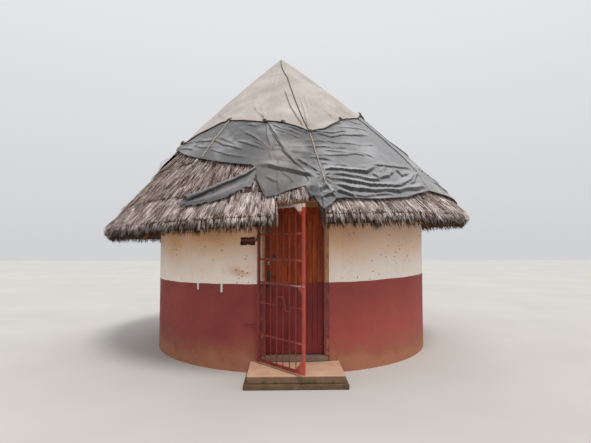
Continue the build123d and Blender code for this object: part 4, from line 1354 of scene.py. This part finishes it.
# Folds of the right tarpaulin: long wrinkles, then the cloth bunched under its stitched line
right_folds = [
    ([(9.0, 2.86), (8.6, 2.95), (6.8, 3.0), (4.4, 2.93)], 0.040, 0.050, 0.014),
    ([(5.0, 3.06), (7.2, 3.09), (9.6, 3.05), (11.0, 3.0)], 0.036, 0.070, 0.012),
    ([(8.2, 2.92), (9.6, 3.02), (10.4, 3.08)], 0.036, 0.040, 0.014),
    ([(6.4, 3.02), (7.3, 3.10), (7.0, 3.19)], 0.020, 0.040, 0.012),
    ([(11.2, 3.0), (13.2, 3.02), (15.5, 3.06)], 0.040, 0.050, 0.012),
    ([(-8.5, 1.86), (-0.6, 2.41), (2.1, 2.61), (5.0, 2.75)], 0.014, 0.035, 0.020),
    ([(-7.3, 1.92), (-2.1, 2.05), (2.3, 2.10), (8.1, 2.23)], 0.015, *FINE),
    ([(-6.0, 2.02), (-1.0, 2.12), (4.0, 2.20), (8.6, 2.30)], 0.011, *FINE),
    ([(0.0, 1.99), (5.9, 2.09), (8.8, 2.15)], 0.016, *FINE),
    ([(0.1, 2.29), (5.1, 2.27), (9.2, 2.29), (15, 2.30)], 0.014, *FINE),
    ([(0.4, 2.36), (4.6, 2.37), (9.0, 2.38), (18, 2.40)], 0.016, *FINE),
    ([(0.6, 2.42), (4.3, 2.46), (8.5, 2.51), (12, 2.51)], 0.015, *FINE),
    ([(1.9, 2.54), (5.4, 2.54), (8.6, 2.55), (14.3, 2.59)], 0.018, *FINE),
    ([(3.2, 2.60), (6.5, 2.63), (8.7, 2.60)], 0.015, *FINE),
    ([(2.3, 2.56), (5.4, 2.66), (8.7, 2.76)], 0.030, *BUNCHED),
    ([(9.7, 2.08), (13.7, 2.13), (19.9, 2.12), (27, 2.06)], 0.018, *FINE),
    ([(10.3, 2.14), (16.8, 2.20), (26.4, 2.15), (38, 2.11)], 0.018, *FINE),
    ([(13.1, 2.10), (19.9, 1.99), (29.3, 1.86)], 0.012, *FINE),
    ([(28, 1.80), (36, 1.86), (43, 1.84)], 0.012, *FINE),
    ([(22, 2.02), (31, 1.98), (42, 2.0)], 0.011, *FINE),
    ([(11.3, 2.25), (19.1, 2.31), (27.5, 2.31), (38.4, 2.28)], 0.012, *FINE),
    ([(9.8, 2.37), (15, 2.39), (21, 2.38)], 0.012, *FINE),
    ([(10.7, 2.43), (19.4, 2.46), (27.4, 2.49)], 0.014, *FINE),
    ([(9.6, 2.50), (13, 2.51), (19, 2.50), (25, 2.44), (30.5, 2.53)], 0.015, *FINE),
    ([(9.3, 2.63), (12.6, 2.655), (18, 2.66)], 0.015, *FINE),
    ([(19.2, 2.69), (24.3, 2.665), (31.4, 2.62), (36.9, 2.63), (46, 2.635)], 0.022, *FINE),
    ([(9.9, 2.71), (12.6, 2.73), (17.3, 2.75), (22.2, 2.74), (27.5, 2.66)], 0.046, *BUNCHED),
    ([(11.0, 2.78), (16.8, 2.82), (21.7, 2.85), (25.6, 2.85)], 0.040, *BUNCHED),
    (
        [
            (10.4, 2.83), (15.7, 2.89), (20.0, 2.93), (26.1, 2.94), (30.3, 2.94), (37.0, 2.83),
            (46.3, 2.67),
        ],
        0.055,
        *BUNCHED,
    ),
    (
        [(10.8, 2.90), (14.9, 2.97), (21.1, 3.01), (28.4, 3.0), (36.9, 2.94), (43.3, 2.92)],
        0.050,
        *BUNCHED,
    ),
    ([(23.9, 2.74), (25.0, 2.83), (29.0, 2.80), (33.8, 2.68)], 0.036, *BUNCHED),
    ([(31.2, 2.63), (27.6, 2.73), (27.4, 2.83)], 0.034, *BUNCHED),
    ([(34.3, 2.66), (34.9, 2.77), (42.9, 2.71)], 0.030, *BUNCHED),
    ([(31.8, 2.93), (38.3, 2.85), (46.9, 2.68)], 0.036, *BUNCHED),
    ([(11.5, 3.02), (18, 3.055), (27, 3.045)], 0.020, *FINE),
    ([(44.5, 1.68), (46.4, 1.87), (48.1, 2.10), (48.1, 2.40), (47.5, 2.66)], 0.009, *FINE),
    ([(50, 2.55), (58, 2.72), (70, 2.80)], 0.020, *FINE),
    ([(52, 2.78), (60, 2.90), (74, 2.93)], 0.022, *FINE),
    ([(60, 2.15), (75, 2.30), (95, 2.32)], 0.018, *FINE),
    ([(70, 2.48), (88, 2.60), (108, 2.58)], 0.019, *FINE),
    ([(84, 2.80), (98, 2.86), (112, 2.84)], 0.022, *FINE),
]


def right_lift(phi, r):
    """The right sheet's wrinkles and bunched lower part, over the left sheet where they lap."""
    front = np.clip((60 - phi) / 25, 0, 1)
    sway = 0.08 * np.sin(np.radians(phi) * 5)
    lift = 0.040 + 0.012 * wrinkle(phi, r, 1.6, 1.5, 9.5) + pleats(phi, r, right_folds)
    lift = lift + front * 0.006 * ridges(phi, r + sway, 1.6, 14, 4.4)
    lift = lift + fan(phi, r, (9.1, 2.80), 9, 0.10, 0.020, 0.5)
    lift = lift + fan(phi, r, (9.1, 2.058), 8, 0.16, 0.010, 1.0)
    crumple = np.clip((r - 2.88) / 0.08, 0, 1) * bell(phi, 8, 3.6)
    lift = lift + crumple * (0.03 + 0.012 * ridges(phi, r, 14, 9, 3.3))
    lift = under_canvas(phi, r, lift)
    under_back = np.clip((read_line(back_edge, phi) - r) / 0.05, 0, 1)
    lift = lift + (0.012 - lift) * (np.clip((phi - 57) / 3, 0, 1) * under_back)
    return np.where(phi < 12, np.maximum(lift, left_lift(phi, r) + 0.009), lift)


# Folds of the pale sheet round the back
back_folds = [
    ([(118, 2.02), (138, 2.12), (158, 2.00)], 0.020, *ROLLING),
    ([(126, 1.96), (146, 2.20), (170, 2.28)], 0.022, *ROLLING),
    ([(122, 2.30), (140, 2.36), (160, 2.33)], 0.018, 0.060, 0.016),
    ([(158, 2.04), (180, 2.16), (204, 2.06)], 0.022, *ROLLING),
    ([(172, 1.98), (196, 2.26), (216, 2.33)], 0.022, *ROLLING),
    ([(205, 2.02), (228, 2.16), (250, 2.04)], 0.020, *ROLLING),
    ([(222, 2.24), (242, 2.36), (262, 2.36)], 0.022, *ROLLING),
    ([(248, 1.98), (268, 2.14), (286, 2.18)], 0.020, 0.060, 0.016),
    ([(262, 2.24), (278, 2.30), (294, 2.20)], 0.020, 0.060, 0.016),
    ([(64, 1.90), (80, 2.06), (104, 2.02)], 0.020, *ROLLING),
    ([(70, 2.12), (92, 2.24), (116, 2.22)], 0.020, *ROLLING),
]


# Folds of the canvas: points down the cloth, height, and width on the two sides
canvas_folds = [
    ([(0.8, 1.12), (3.4, 1.57), (8.2, 2.10)], 0.016, *PLEAT),
    ([(2.1, 1.29), (5.6, 1.79), (8.6, 2.10)], 0.012, *PLEAT),
    ([(0.3, 1.11), (4.0, 1.54), (8.0, 2.09)], 0.010, *PLEAT),
    ([(5.5, 0.95), (7.6, 1.5), (8.9, 2.0)], -0.011, *VALLEY),
    ([(10.9, 1.15), (10.6, 1.63), (9.2, 2.10)], 0.015, *PLEAT),
    ([(15.3, 1.15), (13.5, 1.59), (9.8, 2.10)], 0.012, *PLEAT),
    ([(18.5, 1.17), (17.2, 1.53), (10.6, 2.09)], 0.009, *PLEAT),
    ([(28.9, 1.2), (23.0, 1.57), (24.6, 1.79)], 0.011, *PLEAT),
    ([(29.9, 1.45), (31.5, 1.70)], 0.009, *PLEAT),
    ([(38, 1.35), (37, 1.68)], 0.007, *PLEAT),
    ([(-20.0, 1.45), (-14, 1.66), (-9.6, 1.83)], 0.010, *PLEAT),
    ([(-14.9, 1.48), (-9.5, 1.82)], 0.009, *PLEAT),
    ([(-8.5, 1.55), (-9.2, 1.83)], 0.007, *PLEAT),
    ([(-35.6, 1.5), (-30.0, 1.71)], 0.009, *PLEAT),
    ([(-27.0, 1.5), (-29.4, 1.71)], 0.009, *PLEAT),
    ([(-49.1, 1.46), (-40, 1.6), (-30.6, 1.71)], 0.010, *PLEAT),
    ([(-62, 1.5), (-60, 1.75), (-59.5, 1.97)], 0.009, *PLEAT),
    ([(-78, 0.9), (-90, 1.4), (-100, 1.90)], 0.010, *BROAD),
    ([(-112, 1.1), (-106, 1.5), (-101, 1.88)], 0.009, 0.100, 0.030),
    ([(-134, 0.8), (-141, 1.3), (-149, 1.88)], 0.011, *BROAD),
    ([(-168, 1.0), (-160, 1.45), (-151, 1.88)], 0.009, *BROAD),
    ([(76, 0.8), (71, 1.15), (67, 1.44)], 0.009, 0.090, 0.030),
    ([(100, 0.7), (114, 1.25), (129, 1.88)], 0.011, *BROAD),
    ([(152, 0.9), (142, 1.4), (131, 1.88)], 0.010, *BROAD),
]


def canvas_lift(phi, r):
    """The canvas's folds, over whatever lies under it, drawn down at the ties of its hem."""
    wide = either_way(phi)
    below = np.where(wide < 10, left_lift(wide, r), 0)
    below = np.maximum(below, np.where((wide > -10) & (wide < 118), right_lift(wide, r), 0))
    back = under_canvas(wide, r, np.full(wide.shape, 0.06))
    below = np.maximum(below, np.where((wide > 56) | (wide < -58), back, 0))
    lift = 0.016 + 0.014 * (r / 1.9) ** 2
    for number, knot in enumerate(canvas_knots):
        distance = np.linalg.norm(plan(wide, r) - plan(*knot), axis=-1)
        lift = lift + fan(wide, r, knot, 9, 0.22, 0.010, number)
        lift = lift - 0.016 * np.exp(-distance / 0.10)
    lift = lift + 1.5 * pleats(wide, r, canvas_folds)
    panels = 0.008 * np.cos(np.radians(wide) * 8 + 0.6) * np.clip(r / 1.2, 0, 1)
    lift = lift + panels + 0.010 * wrinkle(wide, r, 2.2, 1.3, 3.1) * np.clip(r / 0.8, 0, 1)
    lift = lift + 0.003 * ridges(wide, r, 6, 3, 8.2) * np.clip(r / 1.2, 0, 1)
    return np.maximum(lift, smoothed(below, 1) + 0.011)


def build_canvas():
    """The canvas cap, from its peak down to the scalloped hem between its ties."""
    spans = ((-180, -72, 54), (-72, -12, 80), (-12, 22, 110), (22, 60, 55), (60, 180, 61))
    around = np.concatenate([np.linspace(*span, endpoint=span[1] == 180) for span in spans])
    phi, share = np.meshgrid(around, np.linspace(0.004, 1, 60), indexing="ij")
    edge = read_line(canvas_edge, phi)
    r = edge * share
    lift = canvas_lift(phi, r)
    lift[-1] = lift[0]
    grid = (phi, r, edge - r)
    shade = fold_light_share(phi, r, lift)
    sheet = lay_sheet("canvas_cap_sheet", grid, lift, shade, CANVAS, "canvas_cap")


def build_left_tarpaulin():
    """The sheet that runs from the left of the roof to the flap over the notch."""
    around = np.concatenate([np.linspace(-66, -14, 90)[:-1], np.linspace(-14, 10, 96)])
    grid = grid_between(around, canvas_edge, left_edge, 104)
    lift = left_lift(*grid[:2])
    shade = fold_light_share(*grid[:2], lift)
    node = "tarpaulin_left"
    sheet = lay_sheet("tarpaulin_left_sheet", grid, lift, shade, TARPAULIN, node)


def build_right_tarpaulin():
    """The long sheet that laps over the left one."""
    around = np.concatenate([np.linspace(-9, 50, 225)[:-1], np.linspace(50, 116, 60)])
    grid = grid_between(around, canvas_edge, right_edge, 140, overlap_line)
    lift = right_lift(*grid[:2])
    shade = fold_light_share(*grid[:2], lift)
    node = "tarpaulin_right"
    sheet = lay_sheet("tarpaulin_right_sheet", grid, lift, shade, TARPAULIN, node)


def build_back_sheet():
    """The pale sheet round the back, over the right one's end, its left corner standing up."""
    grid = grid_between(np.linspace(58, 300, 250), canvas_edge, back_edge, 36)
    phi, r, hem = grid
    folds = 0.024 + 0.012 * wrinkle(phi, r, 1.5, 1.2, 2.7) + pleats(phi, r, back_folds)
    over = np.where(phi < 119, right_lift(phi, r) + 0.010, 0)
    lift = np.maximum(folds, over) + 0.014 * bell(phi, 68, 7)
    flap = bell(phi, 290, 7) * np.clip((301 - phi) / 5, 0, 1)
    stood = np.clip((r - 1.85) / 0.25, 0, 1) * np.clip(hem / 0.07, 0, 1)
    lift = lift + flap * 0.075 * stood * (1 + 0.4 * wrinkle(phi, r, 9, 3, 1.7))
    lift = under_canvas(phi, r, lift)
    shade = fold_light_share(phi, r, folds)
    node = "back_sheet"
    sheet = lay_sheet("back_sheet_cover", grid, lift, shade, PALE_SHEET, node)


# The torn strip: its two long sides, and the share of its width that is rolled
strip_upper = [
    (-9.4, 2.64), (-12.3, 2.72), (-17.9, 2.83), (-22.1, 2.91), (-25.0, 2.95), (-27.6, 2.965),
]
strip_lower = [
    (-8.8, 2.70), (-9.4, 2.86), (-13.1, 2.95), (-17.5, 3.02), (-23.0, 3.065), (-28.4, 3.05),
]
ROLLED = 0.6


def along_strip(line, share):
    """Places on one side of the strip, at a share of its length."""
    stops = np.linspace(0, 1, len(line))
    return plan(*[np.interp(share, stops, [point[k] for point in line]) for k in (0, 1)])


def build_strip():
    """The torn strip: its upper side rolled over into a tube, the rest lying down the thatch."""
    lengthwise, across = np.meshgrid(np.linspace(0, 1, 120), np.linspace(0, 1, 46), indexing="ij")
    turn = -math.pi / 2 - math.radians(310) * np.clip(1 - across / ROLLED, 0, 1)
    flat = across >= ROLLED
    mouth = 0.13 * lengthwise**6 * (0.5 + 0.5 * np.cos(turn - 0.8)) * ~flat
    upper = along_strip(strip_upper, lengthwise - mouth)
    lower = along_strip(strip_lower, lengthwise - mouth)
    width = np.linalg.norm(lower - upper, axis=-1)
    tube = np.minimum(0.012 + 0.018 * lengthwise, width * 0.27)
    torn = 0.035 * wrinkle(lengthwise * 180, across, 2.6, 0.3, 4.2)
    laid = tube + (width - tube + torn) * (across - ROLLED) / (1 - ROLLED)
    from_edge = np.where(flat, laid, tube + tube * np.cos(turn))
    place = upper + (lower - upper) * (from_edge / np.maximum(width, 1e-4))[..., None]
    r = np.linalg.norm(place, axis=-1)
    phi = np.degrees(np.arctan2(place[..., 0], -place[..., 1]))
    lift = 0.022 + np.where(flat, 0.0, tube + tube * np.sin(turn))
    waves = 0.014 * np.sin(11 * lengthwise + 4 * across) * (across - ROLLED) * flat
    lift = lift + 0.008 * ridges(phi, r, 9, 6, 1.9) + waves
    # Painted light and shade: the rolled tube darker on its lower side, dark creases across the
    # lying part, a dark band just below the tube and a paler band below that
    crease_shade = 0.22 * np.sin(22 * across + 5 * lengthwise) * np.sin(math.pi * lengthwise)
    shade = np.where(flat, 0.5 - 0.12 * lengthwise + crease_shade, 0.38 + 0.5 * np.sin(turn))
    shade = shade - 0.6 * bell(across, 0.62, 0.07) + 0.3 * bell(across, 0.8, 0.06)
    shade = np.clip(shade, 0, 1)
    grid = (phi, r, np.full(phi.shape, 0.1))
    node = "tarpaulin_strip"
    sheet = lay_sheet("tarpaulin_strip_sheet", grid, lift, shade, TARPAULIN, node)


build_canvas()
build_left_tarpaulin()
build_right_tarpaulin()
build_back_sheet()
build_strip()


# Ropes: strands, and what a strand's turn, offset and thickness are to the rope's radius
STRANDS = 3
STRAND_LAY = 7
STRAND_OFFSET = 0.5
STRAND_RADIUS = 0.55


def roof_point(phi, r, lift):
    """A place over the thatch, in the roof's own space."""
    height = roof_height(r)
    normal = Vector(((r - ARC_R) / ARC, 0, (height - ARC_H) / ARC))
    turn = math.radians(phi)
    reach = r + lift * normal.x
    return Vector((reach * math.sin(turn), -reach * math.cos(turn), height + lift * normal.z))


def cord_mesh(name, places, radius, resolution, closed=False):
    """A round cord through a row of places."""
    curve = bpy.data.curves.new(name, "CURVE")
    curve.dimensions = "3D"
    curve.bevel_depth = radius
    curve.bevel_resolution = resolution
    curve.use_fill_caps = not closed
    spline = curve.splines.new("POLY")
    spline.points.add(len(places) - 1)
    for point, place in zip(spline.points, places):
        point.co = (*place, 1)
    spline.use_cyclic_u = closed
    cord = bpy.data.objects.new(name, curve)
    bpy.context.scene.collection.objects.link(cord)
    take(cord)
    bpy.ops.object.convert(target="MESH")
    return bpy.context.object


def strand_path(spine, radius, start):
    """A strand's winding round the middle of a rope, from a share of a turn."""
    places = []
    walked = 0.0
    for a, b in zip(spine, spine[1:]):
        step = b - a
        side = step.cross(Vector((0, 0, 1))).normalized()
        over = side.cross(step).normalized()
        for k in range(4):
            turn = 2 * math.pi * ((walked + step.length * k / 4) / (radius * STRAND_LAY) + start)
            off = (side * math.cos(turn) + over * math.sin(turn)) * radius * STRAND_OFFSET
            places.append(a + step * k / 4 + off)
        walked += step.length
    return places


def build_rope(name, line, lift_of, radius, finish, nodes=()):
    """A three-strand rope laid down the covers, over their folds."""
    path = []
    for (phi_a, r_a), (phi_b, r_b) in zip(line, line[1:]):
        count = max(2, round(abs(r_b - r_a) / 0.02))
        for k in range(count):
            path.append((phi_a + (phi_b - phi_a) * k / count, r_a + (r_b - r_a) * k / count))
    path.append(line[-1])
    phi, r = np.array([a for a, b in path]), np.array([b for a, b in path])
    lifts = lift_of(phi, r)
    level = np.convolve(np.pad(lifts, 3, mode="edge"), np.ones(7) / 7, "valid")
    lifts = np.maximum(lifts, level) + radius * 1.1
    spine = [roof_point(*place) for place in zip(phi, r, lifts)]
    paths = [strand_path(spine, radius, strand / STRANDS) for strand in range(STRANDS)]
    rope = join([cord_mesh(name, places, radius * STRAND_RADIUS, 1) for places in paths])
    set_on_roof(rope)
    soften(rope, 60)
    hand_over(rope, name, finish, nodes=nodes)


left_tie_line = [LEFT_TIE, (-30.6, 2.361), (-30.2, 2.40)]
right_tie_line = [(9.1, 2.10), (8.9, 2.463), (9.2, 2.754), (8.8, 2.90)]
apex_line = [(-5.0, 0.09), (6.2, 0.734), (6.9, 1.281), (7.6, 1.607), (8.4, 1.911), (9.2, 2.13)]
twine_line = [(46.9, 2.68), (44.4, 2.83), (43.0, 2.95), (48.5, 2.97), (53.9, 2.99), (64.2, 3.02)]
seam_line = [(44.5, 1.68), (46.4, 1.87), (48.1, 2.10), (48.1, 2.40), (47.3, 2.66)]
build_rope("tie_rope_left_strands", left_tie_line, left_lift, 0.008, PALE_ROPE, ["tie_rope_left"])
build_rope(
    "tie_rope_right_strands", right_tie_line, right_lift, 0.008, PALE_ROPE, ["tie_rope_right"]
)
build_rope("apex_rope_strands", apex_line, canvas_lift, 0.007, DARK_ROPE, ["apex_rope"])
build_rope("lashing_twine", twine_line, right_lift, 0.005, PALE_ROPE)
build_rope("tarpaulin_seam_cord", seam_line, right_lift, 0.005, DARK_ROPE)


def build_piping():
    """The bound rope edge of the canvas, round the whole hem."""
    phi = np.linspace(-180, 180, 361)[:-1]
    r = read_line(canvas_edge, phi)
    lifts = canvas_lift(phi[:, None], r[:, None])[:, 0] + 0.002
    places = [roof_point(*place) for place in zip(phi, r, lifts)]
    piping = cord_mesh("canvas_hem_piping", places, 0.008, 2, closed=True)
    set_on_roof(piping)
    soften(piping, 60)
    hand_over(piping, "canvas_hem_piping", DARK_ROPE)


def knot_model():
    """One knot, its loop and the tail of its rope."""
    bpy.ops.mesh.primitive_ico_sphere_add(subdivisions=2, radius=1, location=(0, 0, 0.012))
    knot = bpy.context.object
    knot.scale = (0.028, 0.021, 0.017)
    settle_place(knot)
    roughened(knot, 0.02, 0.008)
    bpy.ops.mesh.primitive_torus_add(
        location=(0, 0.024, 0.012),
        major_radius=0.022,
        minor_radius=0.006,
        major_segments=16,
        minor_segments=6,
    )
    loop = bpy.context.object
    turn = (0, math.pi / 2, -0.6)
    place = (0.028, -0.016, 0.004)
    bpy.ops.mesh.primitive_cylinder_add(
        vertices=6, radius=0.005, depth=0.06, location=place, rotation=turn
    )
    tail = bpy.context.object
    settle_place(tail)
    return join([knot, loop, tail])


def build_knots():
    """A knot at each tie of the hem, copied from one and turned differently."""
    knot = knot_model()
    knots = []
    for number, (phi, edge) in enumerate(canvas_knots):
        r = edge - 0.01
        copy = bpy.data.objects.new("knot", knot.data.copy())
        bpy.context.scene.collection.objects.link(copy)
        lift = float(canvas_lift(np.array([[phi]]), np.array([[r]]))[0, 0])
        lean = Matrix.Rotation(math.radians(phi), 4, "Z") @ Matrix.Rotation(ROOF_PITCH, 4, "X")
        spin = Matrix.Rotation(number * 1.1 - 1.4, 4, "Z")
        copy.matrix_world = ROOF @ Matrix.Translation(roof_point(phi, r, lift)) @ lean @ spin
        settle_place(copy)
        knots.append(copy)
    bpy.data.objects.remove(knot)
    knots = join(knots)
    soften(knots, 50)
    hand_over(knots, "canvas_hem_knots", DARK_ROPE)


build_piping()
build_knots()
